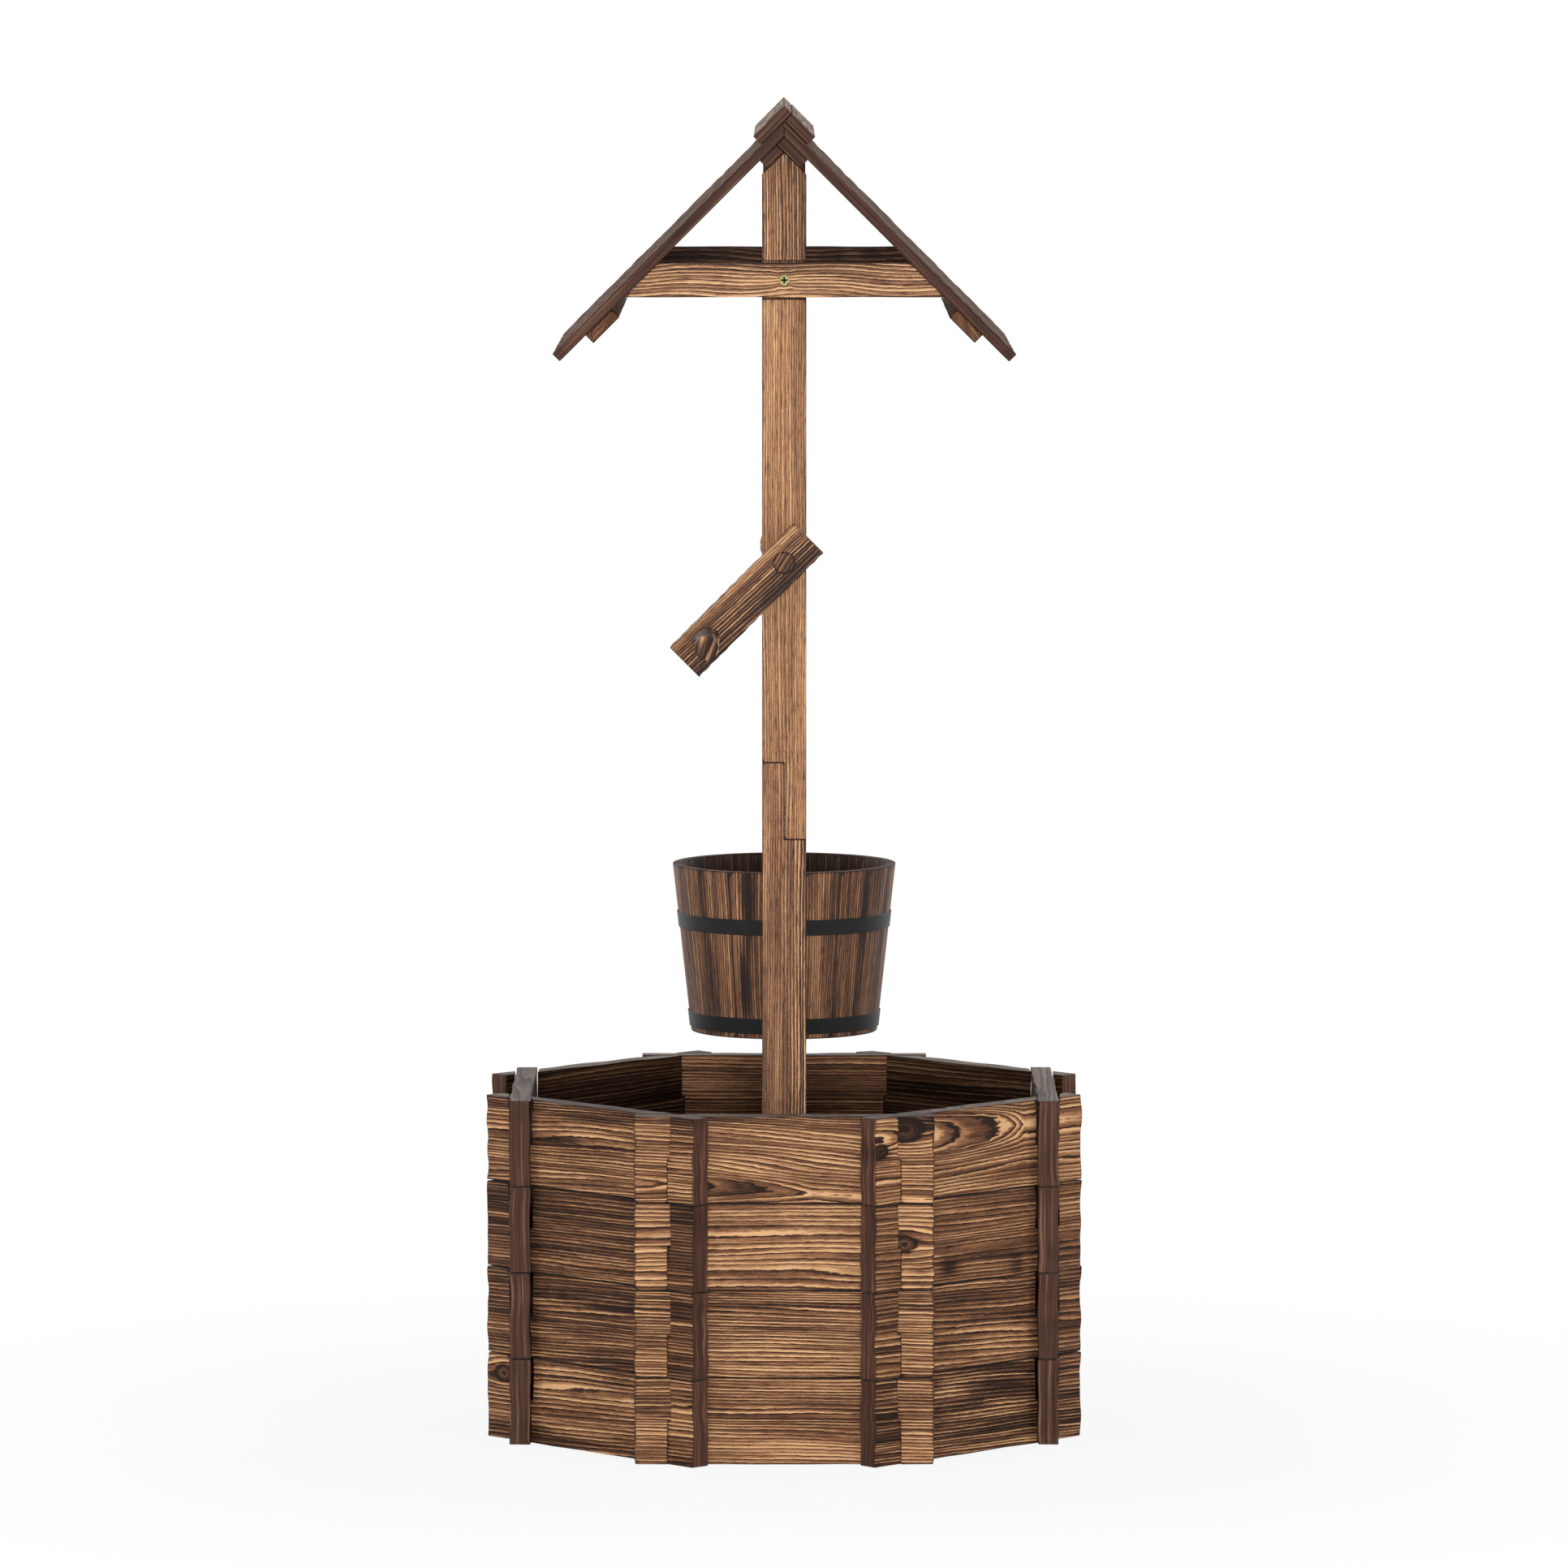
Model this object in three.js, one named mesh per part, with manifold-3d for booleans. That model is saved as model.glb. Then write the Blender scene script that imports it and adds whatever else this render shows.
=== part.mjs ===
// Wishing well planter: an eight-sided log-cabin tub, two jointed posts, a gable roof, and a
// crank that winds a rope with a stave bucket.
// Millimetres, +X right, +Y to the rear, +Z up. The origin is on the ground, in the tub's centre.
import * as THREE from 'three';
import { mergeVertices } from 'three/addons/utils/BufferGeometryUtils.js';
import Module from 'manifold-3d';

const wasm = await Module();
wasm.setup();

// Clearances
const touchGap = 0.3; // between pieces that touch
const overrun = 5; // how far a cutter reaches past what it cuts
const fuseDepth = 0.4; // how far a batten's wood joins the boards that it carries
const weld = 1e-4;

// Tub of planks
const courseCount = 4;
const plankWidth = 77.5;
const plankThickness = 20;
const plankTail = 35.1; // past the middle of the plank that crosses it
const tubApothem = 246.8; // centre to the outer face of a plank
const notchClearance = 1.5; // each side of a crossing plank

// Tub floor
const floorBoardCount = 5;
const floorBoardThickness = 20;
const floorBoardGap = 3;
const floorTieWidth = 39;
const floorTieThickness = 20;

// Posts
const postWidth = 39;
const postThickness = 20;
const lapLength = 68.2;
const lapDrop = 177.9; // from the axle down to the lap

// Crossbars
const crossbarHeight = 30.5;
const crossbarThickness = 16;
const crossbarAboveBatten = 15; // on the slope, from its lower corner to the eave batten
const crossbarLetIn = 10.2; // depth of its notch in the post
const crossbarNotchClearance = 1.7;

// Screws
const screwHeadRadius = 4.9;
const screwHeadHeight = 3;
const screwShankRadius = 2.1;
const screwLength = 24.5;
const screwPointLength = 4;
const screwClearance = 0.2;
const screwSlotWidth = 1.1;
const screwSlotLength = 5.2;
const screwSlotDepth = 1.8;

// Roof, measured on the slope
const roofApex = 1187.8;
const roofEaveReach = 204.6; // from the ridge to the outer edge of the eave
const roofOverhang = 10.1; // past the posts, at the front and at the rear
const roofBoardCount = 6;
const roofBoardGap = 0.8;
const roofBoardThickness = 9.5;
const roofBoardClip = 9; // corner cut off a board's lower end
const ridgeBattenLength = 29.7; // wide side of the overlapping batten
const ridgeButtedBattenLength = 20.4;
const ridgeBattenThickness = 9.5;
const eaveBattenWidth = 32.5;
const eaveBattenThickness = 9.8;
const eaveBattenInset = 32.7; // from the boards' lower end
const eaveBattenRecess = 10; // from the boards' near edge
const capLength = 38.6; // the overlapping ridge cap
const buttedCapLength = 29.1;
const capThickness = 9.5;

// Windlass
const axleDrop = 387.1; // below the roof's apex
const axleRadius = 9.25;
const axleTail = 12; // past the rear post
const bearingClearance = 0.4;
const armLength = 154;
const armWidth = 36.8;
const armThickness = 20;
const armGap = 1.5; // between the arm and the post
const armHub = 30; // from the arm's upper end to the axle
const armTail = 28.6; // from the handle to the arm's lower end
const handleRadius = 10.5;
const handleReach = 110;
const handleRounding = 2.5;

// Rope
const ropeRadius = 3;
const turnGap = 0.5; // between neighbouring turns of the inner layer
const outerTurnGap = 1.9; // the outer layer lies looser, clear of the climbing turn
const layerGap = 0.45; // between the two layers
const innerTurns = 3;
const climbTurns = 0.5;
const outerTurns = 1.5;
const hitchDrop = 30; // height in which the rope bends down from the winding

// Bucket
const bucketHeight = 151.8;
const bucketDrop = 288.1; // from the axle down to the rim
const bucketRimRadius = 101;
const bucketBaseRadius = 84.4;
const bucketWall = 8.3;
const staveCount = 18;
const staveSeamDepth = 0.6;
const staveSeamWidth = 1;
const bottomThickness = 10;
const bottomRise = 11; // from the staves' lower ends to the bottom
const crozeDepth = 2.5;
const hoopWidth = 14;
const hoopThickness = 0.8;
const hoopGap = 0.2;
const lowerHoopRise = 4.4;
const upperHoopRise = 94.5;
const bailHoleDrop = 16; // below the rim
const bailHoleClearance = 0.5;
const bailRise = 108; // from the holes to the knot
const bailKnotRadius = 7.2;
const stopKnotRadius = 5.5;
const bailBend = 12; // inside the wall, before the bail rises

// Worked-out sizes
const half = 1 / 2;
const root2 = Math.SQRT2;
const eighthTurn = Math.PI / 4;
const course = plankWidth + touchGap;
const innerApothem = tubApothem - plankThickness;
// Where the middle lines of two planks cross, from the middle of each
const crossing = (tubApothem - plankThickness / 2) * Math.tan(eighthTurn / 2);
const plankLength = 2 * (crossing + plankTail);
const postFront = innerApothem - touchGap; // distance of a post's outer face from the centre
const postBack = postFront - postThickness;
const roofUnder = roofApex - roofBoardThickness * root2;
const roofDepth = 2 * (postFront + roofOverhang);
const roofBoardWidth = (roofDepth - (roofBoardCount - 1) * roofBoardGap) / roofBoardCount;
// From the ridge down the boards' underside to their lower end and to the eave batten
const roofUnderLength = roofEaveReach * root2 - roofBoardThickness;
const eaveBattenLow = roofUnderLength - eaveBattenInset;
const eaveBattenHigh = eaveBattenLow - eaveBattenWidth;
const crossbarBottom = roofUnder - (eaveBattenHigh - crossbarAboveBatten) / root2;
const axleHeight = roofApex - axleDrop;
const crankThrow = armLength - armHub - armTail;
const lapHighShoulder = axleHeight - lapDrop; // where the lower piece's tongue ends
const lapLowShoulder = lapHighShoulder - lapLength; // where the upper piece's tongue ends
const bucketRim = axleHeight - bucketDrop;
const bucketBottom = bucketRim - bucketHeight;
const ropeDiameter = 2 * ropeRadius;
const innerWindRadius = axleRadius + touchGap + ropeRadius;
const outerWindRadius = innerWindRadius + ropeDiameter + layerGap;
const turnPitch = ropeDiameter + turnGap;
const outerPitch = ropeDiameter + outerTurnGap;
const bailHoleHeight = bucketRim - bailHoleDrop;
const knotHeight = bailHoleHeight + bailRise;
const roundSides = 36;
const ropeSides = 8;
const loopSteps = 24;
const windingSides = 6;

// Materials
function paint(colour, roughness, metalness) {
  return new THREE.MeshStandardMaterial({ color: colour, roughness: roughness, metalness: metalness });
}

const charredWood = paint(0x7a5236, 0.75, 0);
const charredPost = paint(0x8a5f3f, 0.75, 0);
const roofWood = paint(0x5c443a, 0.8, 0);
const bucketWood = paint(0x6b4530, 0.75, 0);
const floorWood = paint(0x6a4a34, 0.85, 0);
const hoopSteel = paint(0x2e2e2e, 0.5, 0.6);
const yellowZinc = paint(0xb8a860, 0.35, 0.9);
const hempRope = paint(0xa78a5e, 0.9, 0);

const well = new THREE.Group();

function add(name, geometry, material) {
  const mesh = new THREE.Mesh(geometry, material);
  mesh.name = name;
  well.add(mesh);
  return mesh;
}

// Solid helpers
function toSolid(geometry) {
  const bare = new THREE.BufferGeometry();
  bare.setAttribute('position', geometry.getAttribute('position'));
  bare.setIndex(geometry.getIndex());
  const merged = mergeVertices(bare, weld);
  const mesh = new wasm.Mesh({
    numProp: 3,
    vertProperties: new Float32Array(merged.getAttribute('position').array),
    triVerts: new Uint32Array(merged.getIndex().array),
  });
  return new wasm.Manifold(mesh);
}

function toGeometry(solid) {
  const mesh = solid.getMesh();
  const geometry = new THREE.BufferGeometry();
  geometry.setAttribute('position', new THREE.BufferAttribute(mesh.vertProperties, 3));
  geometry.setIndex(new THREE.BufferAttribute(mesh.triVerts, 1));
  return geometry;
}

function cut(solid, cutters) {
  let result = solid;
  for (const cutter of cutters) {
    result = result.subtract(cutter);
  }
  return result;
}

// Box between two corners
function boxBetween(low, high) {
  const box = new THREE.BoxGeometry(high[0] - low[0], high[1] - low[1], high[2] - low[2]);
  box.translate((low[0] + high[0]) / 2, (low[1] + high[1]) / 2, (low[2] + high[2]) / 2);
  return box;
}

// Outline in X and Z, pulled along Y from nearY to farY
function extrudeAlongY(outline, nearY, farY) {
  const shape = new THREE.Shape(outline.map(([x, z]) => new THREE.Vector2(x, z)));
  const solid = new THREE.ExtrudeGeometry(shape, { depth: farY - nearY, bevelEnabled: false });
  solid.rotateX(Math.PI / 2);
  solid.translate(0, farY, 0);
  return solid;
}

// Outline in X and Y, pulled up from low to high
function extrudeUp(outline, low, high) {
  const shape = new THREE.Shape(outline.map(([x, y]) => new THREE.Vector2(x, y)));
  const solid = new THREE.ExtrudeGeometry(shape, { depth: high - low, bevelEnabled: false });
  solid.translate(0, 0, low);
  return solid;
}

// Round bar along Y, from nearY to farY
function rodAlongY(radius, nearY, farY, x, z) {
  const rod = new THREE.CylinderGeometry(radius, radius, farY - nearY, roundSides);
  rod.translate(x, (nearY + farY) / 2, z);
  return rod;
}

// Profile of [radius, height, outer] points turned about Z at the angles of the columns. A
// column's sink is how far its outer points lie inside the profile.
function turned(profile, columns) {
  const positions = [];
  const index = [];
  for (const column of columns) {
    for (const [radius, height, outer] of profile) {
      const r = outer ? radius - column.sink : radius;
      positions.push(r * Math.cos(column.angle), r * Math.sin(column.angle), height);
    }
  }
  const count = profile.length;
  for (let i = 0; i < columns.length; i += 1) {
    const here = i * count;
    const next = ((i + 1) % columns.length) * count;
    for (let j = 0; j < count; j += 1) {
      const k = (j + 1) % count;
      index.push(here + j, next + j, next + k);
      index.push(here + j, next + k, here + k);
    }
  }
  const geometry = new THREE.BufferGeometry();
  geometry.setAttribute('position', new THREE.Float32BufferAttribute(positions, 3));
  geometry.setIndex(index);
  return geometry;
}

// Tube along a list of points, closed by a flat fan at each end
function ropeTube(points, radius, sides) {
  const positions = [];
  const index = [];
  const tangents = points.map((point, i) => {
    const before = points[Math.max(i - 1, 0)];
    const after = points[Math.min(i + 1, points.length - 1)];
    return after.clone().sub(before).normalize();
  });
  const across = new THREE.Vector3(0, 1, 0);
  if (Math.abs(tangents[0].y) > half) {
    across.set(1, 0, 0);
  }
  points.forEach((point, i) => {
    across.addScaledVector(tangents[i], -across.dot(tangents[i])).normalize();
    const other = tangents[i].clone().cross(across);
    for (let side = 0; side < sides; side += 1) {
      const angle = (2 * Math.PI * side) / sides;
      const offset = across.clone().multiplyScalar(radius * Math.cos(angle));
      offset.addScaledVector(other, radius * Math.sin(angle)).add(point);
      positions.push(offset.x, offset.y, offset.z);
    }
  });
  for (let i = 0; i + 1 < points.length; i += 1) {
    for (let side = 0; side < sides; side += 1) {
      const next = (side + 1) % sides;
      const here = i * sides;
      const there = here + sides;
      index.push(here + side, here + next, there + next);
      index.push(here + side, there + next, there + side);
    }
  }
  const last = (points.length - 1) * sides;
  for (let side = 1; side + 1 < sides; side += 1) {
    index.push(0, side + 1, side);
    index.push(last, last + side, last + side + 1);
  }
  const geometry = new THREE.BufferGeometry();
  geometry.setAttribute('position', new THREE.Float32BufferAttribute(positions, 3));
  geometry.setIndex(index);
  return geometry;
}

// Least distance between the surfaces of stretches of one tube that are not neighbours
function leastGap(points, radius) {
  const neighbour = Math.PI * radius * 2;
  const reached = [0];
  for (let i = 1; i < points.length; i += 1) {
    reached.push(reached[i - 1] + points[i].distanceTo(points[i - 1]));
  }
  let least = Infinity;
  for (let i = 0; i < points.length; i += 1) {
    for (let j = i + 1; j < points.length; j += 1) {
      if (reached[j] - reached[i] > neighbour) {
        least = Math.min(least, points[i].distanceTo(points[j]) - 2 * radius);
      }
    }
  }
  return least;
}

// Tub: eight sides of planks, half-lapped where they cross at the corners. Planks that face
// the front, rear, left and right are notched from below, the others from above.
function plankSolid(level, notchedBelow) {
  const bottom = level * course;
  const top = bottom + plankWidth;
  const middle = (bottom + top) / 2;
  const plank = boxBetween(
    [-plankLength / 2, -tubApothem, bottom],
    [plankLength / 2, -innerApothem, top],
  );
  const notchLow = notchedBelow ? bottom - overrun : middle - touchGap / 2;
  const notchHigh = notchedBelow ? middle + touchGap / 2 : top + overrun;
  const notches = [-1, 1].map((side) => {
    const notch = boxBetween(
      [-plankThickness * 2, -plankThickness / 2 - notchClearance, notchLow],
      [plankThickness * 2, plankThickness / 2 + notchClearance, notchHigh],
    );
    notch.rotateZ(side * eighthTurn);
    notch.translate(side * crossing, -(tubApothem - plankThickness / 2), 0);
    return toSolid(notch);
  });
  return cut(toSolid(plank), notches);
}

const tubSides = ['front', 'front_right', 'right', 'rear_right', 'rear', 'rear_left', 'left', 'front_left'];

function makeTub() {
  tubSides.forEach((side, turn) => {
    for (let level = 0; level < courseCount; level += 1) {
      const plank = toGeometry(plankSolid(level, turn % 2 === 0));
      const mesh = add(`${side}_plank_${level + 1}`, plank, charredWood);
      mesh.rotation.z = turn * eighthTurn;
    }
  });
}

// Tub floor: boards cut to the octagon, held together by a tie that runs between the posts
function makeFloor() {
  const inside = (innerApothem - touchGap) / Math.cos(eighthTurn / 2);
  const corners = tubSides.map((side, i) => {
    const angle = (i + half) * eighthTurn;
    return [inside * Math.cos(angle), inside * Math.sin(angle)];
  });
  const octagon = toSolid(extrudeUp(corners, -overrun, floorBoardThickness + overrun));
  const span = floorBoardCount * plankWidth + (floorBoardCount - 1) * floorBoardGap;
  for (let i = 0; i < floorBoardCount; i += 1) {
    const nearY = -span / 2 + i * (plankWidth + floorBoardGap);
    const board = boxBetween([-inside, nearY, 0], [inside, nearY + plankWidth, floorBoardThickness]);
    add(`floor_board_${i + 1}`, toGeometry(toSolid(board).intersect(octagon)), floorWood);
  }
  const tieBottom = floorBoardThickness + touchGap;
  const tieEnd = postBack - touchGap;
  const tie = boxBetween(
    [-floorTieWidth / 2, -tieEnd, tieBottom],
    [floorTieWidth / 2, tieEnd, tieBottom + floorTieThickness],
  );
  add('floor_tie', tie, floorWood);
}

// Posts: two pieces each, side by side in the lap. The rear post is the front one turned
// half round.
const battenUnder = roofUnder - (touchGap + ridgeBattenThickness) * root2;
const postApex = battenUnder - touchGap * root2;

function screwHole(radius, front, back) {
  return toSolid(rodAlongY(radius + screwClearance, front, back, 0, crossbarBottom + crossbarHeight / 2));
}

function upperPostSolid() {
  const side = postWidth / 2;
  const outline = [
    [-side, lapHighShoulder + touchGap / 2],
    [touchGap / 2, lapHighShoulder + touchGap / 2],
    [touchGap / 2, lapLowShoulder + touchGap / 2],
    [side, lapLowShoulder + touchGap / 2],
    [side, postApex - side],
    [0, postApex],
    [-side, postApex - side],
  ];
  const notch = boxBetween(
    [-postWidth, -postFront - overrun, crossbarBottom - crossbarNotchClearance],
    [postWidth, -postFront + crossbarLetIn, crossbarBottom + crossbarHeight + crossbarNotchClearance],
  );
  const bore = rodAlongY(axleRadius + bearingClearance, -postFront - overrun, -postBack + overrun, 0, axleHeight);
  return cut(toSolid(extrudeAlongY(outline, -postFront, -postBack)), [
    toSolid(notch),
    toSolid(bore),
    screwHole(screwShankRadius, -postFront - overrun, screwTip + screwClearance),
  ]);
}

function lowerPost() {
  const side = postWidth / 2;
  const outline = [
    [-side, 0],
    [side, 0],
    [side, lapLowShoulder - touchGap / 2],
    [-touchGap / 2, lapLowShoulder - touchGap / 2],
    [-touchGap / 2, lapHighShoulder - touchGap / 2],
    [-side, lapHighShoulder - touchGap / 2],
  ];
  return extrudeAlongY(outline, -postFront, -postBack);
}

// Crossbars: let into the posts, their ends cut to the slope of the roof
const crossbarBack = -postFront + crossbarLetIn - touchGap;
const crossbarFront = crossbarBack - crossbarThickness;
const screwTip = crossbarFront + screwLength;

function crossbarSolid() {
  const top = crossbarBottom + crossbarHeight;
  const reach = roofUnder - touchGap * root2;
  const outline = [
    [-(reach - crossbarBottom), crossbarBottom],
    [reach - crossbarBottom, crossbarBottom],
    [reach - top, top],
    [-(reach - top), top],
  ];
  const sink = screwProfile(screwClearance);
  return cut(toSolid(extrudeAlongY(outline, crossbarFront, crossbarBack)), [
    toSolid(lathed(sink)),
    screwHole(screwShankRadius, crossbarFront - overrun, crossbarBack + overrun),
  ]);
}

// Countersunk screw, turned about Z and laid along Y
function screwProfile(spare) {
  const head = screwHeadRadius + spare;
  const shank = screwShankRadius + spare;
  return [
    [0, -spare],
    [head, -spare],
    [head, spare],
    [shank, screwHeadHeight + spare],
    [shank, screwLength - screwPointLength],
    [0, screwLength],
  ];
}

function lathed(profile) {
  const outline = profile.map(([radius, height]) => new THREE.Vector2(radius, height));
  const solid = new THREE.LatheGeometry(outline, roundSides);
  solid.translate(0, crossbarFront, 0);
  solid.translate(0, 0, crossbarBottom + crossbarHeight / 2);
  return solid;
}

function screwSolid() {
  const middle = crossbarBottom + crossbarHeight / 2;
  const wide = screwSlotLength / 2;
  const thin = screwSlotWidth / 2;
  const low = crossbarFront - overrun;
  const high = crossbarFront + screwSlotDepth;
  return cut(toSolid(lathed(screwProfile(0))), [
    toSolid(boxBetween([-wide, low, middle - thin], [wide, high, middle + thin])),
    toSolid(boxBetween([-thin, low, middle - wide], [thin, high, middle + wide])),
  ]);
}

function makePosts() {
  [['front', 0], ['rear', Math.PI]].forEach(([side, turn]) => {
    const pieces = [
      [`${side}_post_lower`, lowerPost(), charredPost],
      [`${side}_post_upper`, toGeometry(upperPostSolid()), charredPost],
      [`${side}_crossbar`, toGeometry(crossbarSolid()), charredPost],
      [`${side}_crossbar_screw`, toGeometry(screwSolid()), yellowZinc],
    ];
    for (const [name, geometry, material] of pieces) {
      add(name, geometry, material).rotation.z = turn;
    }
  });
}

// A lath of the roof in its own slope: along is the distance down from the ridge line on the
// plane z = base - x, thick is measured away from that plane, out is its side
function slopeLath(base, from, to, thick, out, nearY, farY) {
  const start = from / root2;
  const end = to / root2;
  const rise = (out * thick) / root2;
  const outline = [
    [start, base - start],
    [end, base - end],
    [end + rise, base - end + rise],
    [start + rise, base - start + rise],
  ];
  if (out < 0) {
    outline.reverse();
  }
  return extrudeAlongY(outline, nearY, farY);
}

// Roof board: flat in plan with its lower corners clipped, laid on the slope, mitred upright
// at the ridge
function roofBoard(nearY) {
  const length = roofEaveReach * root2;
  const clip = roofBoardClip;
  const outline = [
    [-roofBoardThickness * 2, nearY],
    [length - clip, nearY],
    [length, nearY + clip],
    [length, nearY + roofBoardWidth - clip],
    [length - clip, nearY + roofBoardWidth],
    [-roofBoardThickness * 2, nearY + roofBoardWidth],
  ];
  const board = extrudeUp(outline, -roofBoardThickness, 0);
  board.rotateY(eighthTurn);
  board.translate(0, 0, roofApex);
  const far = roofEaveReach;
  const beyond = boxBetween(
    [-far, nearY - overrun, roofApex - far],
    [touchGap / 2, nearY + roofBoardWidth + overrun, roofApex + far],
  );
  return toSolid(board).subtract(toSolid(beyond));
}

// Slope that falls to the right, with its battens, before it is turned for the left side
function roofSlope(ridgeBatten) {
  const near = -roofDepth / 2;
  let slope = ridgeBatten;
  const eaveBatten = slopeLath(
    roofUnder + fuseDepth * root2,
    eaveBattenHigh + fuseDepth,
    eaveBattenLow + fuseDepth,
    eaveBattenThickness + fuseDepth,
    -1,
    near + eaveBattenRecess,
    -near - eaveBattenRecess,
  );
  slope = slope.add(toSolid(eaveBatten));
  for (let i = 0; i < roofBoardCount; i += 1) {
    slope = slope.add(roofBoard(near + i * (roofBoardWidth + roofBoardGap)));
  }
  return toGeometry(slope);
}

// The right ridge batten passes under the left slope, and the left one is butted against it
function ridgeBattenRight() {
  const base = roofUnder + fuseDepth * root2;
  const thick = ridgeBattenThickness + touchGap + fuseDepth;
  const lath = slopeLath(base, 0, ridgeBattenLength, thick, -1, -roofDepth / 2, roofDepth / 2);
  const reach = 2 * ridgeBattenLength;
  const leftUnder = slopeLath(roofUnder - touchGap * root2, -reach, reach, reach, 1, -roofDepth, roofDepth);
  leftUnder.rotateZ(Math.PI);
  return toSolid(lath).subtract(toSolid(leftUnder));
}

function ridgeBattenLeft() {
  const base = roofUnder + fuseDepth * root2;
  const thick = ridgeBattenThickness + touchGap + fuseDepth;
  const from = ridgeBattenThickness + 2 * touchGap;
  const lath = slopeLath(
    base,
    from + fuseDepth,
    from + fuseDepth + ridgeButtedBattenLength,
    thick,
    -1,
    -roofDepth / 2,
    roofDepth / 2,
  );
  return toSolid(lath);
}

// Ridge caps: the left one covers the ridge, and the right one is butted under it
function makeRoof() {
  add('roof_right', roofSlope(ridgeBattenRight()), roofWood);
  add('roof_left', roofSlope(ridgeBattenLeft()), roofWood).rotation.z = Math.PI;
  const capBase = roofApex + touchGap * root2;
  const near = -roofDepth / 2;
  const left = slopeLath(capBase, -capThickness, capLength - capThickness, capThickness, 1, near, -near);
  add('ridge_cap_left', left, roofWood).rotation.z = Math.PI;
  const right = slopeLath(capBase, touchGap, touchGap + buttedCapLength, capThickness, 1, near, -near);
  add('ridge_cap_right', right, roofWood);
}

// Windlass: an axle through both posts, an arm that hangs down to the left, and its handle
function makeWindlass() {
  const armBack = -postFront - armGap;
  const armFront = armBack - armThickness;
  add('axle', rodAlongY(axleRadius, armFront, postFront + axleTail, 0, axleHeight), charredPost);
  const arm = boxBetween(
    [armHub - armLength, armFront, -armWidth / 2],
    [armHub, armBack, armWidth / 2],
  );
  const armSolid = cut(toSolid(arm), [
    toSolid(rodAlongY(axleRadius + touchGap, armFront - overrun, armBack + overrun, 0, 0)),
    toSolid(rodAlongY(handleRadius + touchGap, armFront - overrun, armBack + overrun, -crankThrow, 0)),
  ]);
  const armMesh = add('crank_arm', toGeometry(armSolid), charredPost);
  armMesh.rotation.y = -eighthTurn;
  armMesh.position.z = axleHeight;
  const outline = [
    [0, 0],
    [handleRadius - handleRounding, 0],
    [handleRadius - handleRounding * (1 - Math.SQRT1_2), handleRounding * (1 - Math.SQRT1_2)],
    [handleRadius, handleRounding],
    [handleRadius, handleReach + armThickness],
    [0, handleReach + armThickness],
  ].map(([radius, height]) => new THREE.Vector2(radius, height));
  const handle = add('crank_handle', new THREE.LatheGeometry(outline, roundSides), charredPost);
  handle.position.set(-crankThrow / root2, armFront - handleReach, axleHeight - crankThrow / root2);
}

// Rope: two layers on the axle as one tube. The angle runs from the axle's underside, right,
// over the top and down the left.
const leaveAngle = -50 * THREE.MathUtils.DEG2RAD; // where the rope leaves the outer layer

function windingPoints() {
  const turns = innerTurns + climbTurns + outerTurns;
  const steps = Math.round(turns * loopSteps);
  const innerSpan = (innerTurns + climbTurns / 2) * turnPitch;
  const points = [];
  for (let i = 0; i <= steps; i += 1) {
    const turn = (i / steps) * turns;
    const climb = THREE.MathUtils.clamp((turn - innerTurns) / climbTurns, 0, 1);
    const eased = climb * climb * (3 - 2 * climb);
    const radius = innerWindRadius + eased * (outerWindRadius - innerWindRadius);
    const out = Math.min(turn, innerTurns + climbTurns / 2) * turnPitch;
    const back = Math.max(turn - innerTurns - climbTurns, 0) * outerPitch;
    const angle = leaveAngle + (turn - turns) * 2 * Math.PI;
    points.push(new THREE.Vector3(
      radius * Math.sin(angle),
      outerTurns * outerPitch - innerSpan + out - back,
      axleHeight - radius * Math.cos(angle),
    ));
  }
  return points;
}

// From the winding's end, bent down to the tub's centre line, then straight to the knot
function hoistPoints(winding) {
  const top = winding[winding.length - 1];
  const tangent = top.clone().sub(winding[winding.length - 2]).normalize();
  const start = top.clone().addScaledVector(tangent, touchGap);
  const end = new THREE.Vector3(0, start.y, start.z - hitchDrop);
  const pull = hitchDrop / 3;
  const bend = new THREE.CubicBezierCurve3(
    start,
    start.clone().addScaledVector(tangent, pull),
    new THREE.Vector3(end.x, end.y, end.z + pull),
    end,
  );
  const points = bend.getPoints(loopSteps / 2);
  points.push(new THREE.Vector3(0, end.y, knotHeight + bailKnotRadius + touchGap));
  return points;
}

// Bail: one rope through two holes in the staves, with a stop knot outside each and the knot
// that the hoist rope is tied to in its middle
function bailSolid() {
  const atHole = bucketBaseRadius
    + ((bucketRimRadius - bucketBaseRadius) * (bailHoleHeight - bucketBottom)) / bucketHeight;
  const outside = atHole + touchGap + stopKnotRadius;
  const inside = atHole - bucketWall - ropeDiameter / 2;
  const turn = inside - bailBend;
  const slope = bailRise / turn;
  const side = [
    [outside, 0],
    [inside, 0],
    [inside - bailBend / 2, bailBend / 4],
    [turn, bailBend],
    [turn * half, bailBend + (bailRise - bailBend) * half],
    [0, bailRise],
  ];
  const route = [
    ...side.map(([y, z]) => new THREE.Vector3(0, -y, bailHoleHeight + z)),
    ...side.slice(0, -1).reverse().map(([y, z]) => new THREE.Vector3(0, y, bailHoleHeight + z)),
  ];
  const curve = new THREE.CatmullRomCurve3(route, false, 'centripetal');
  const points = curve.getPoints(route.length * 6);
  const knot = new THREE.SphereGeometry(bailKnotRadius, loopSteps / 2, loopSteps / 3);
  knot.translate(0, 0, knotHeight);
  let rope = toSolid(ropeTube(points, ropeRadius, ropeSides)).add(toSolid(knot));
  for (const end of [-outside, outside]) {
    const stop = new THREE.SphereGeometry(stopKnotRadius, loopSteps / 2, loopSteps / 3);
    stop.translate(0, end, bailHoleHeight);
    rope = rope.add(toSolid(stop));
  }
  return rope;
}

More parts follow.
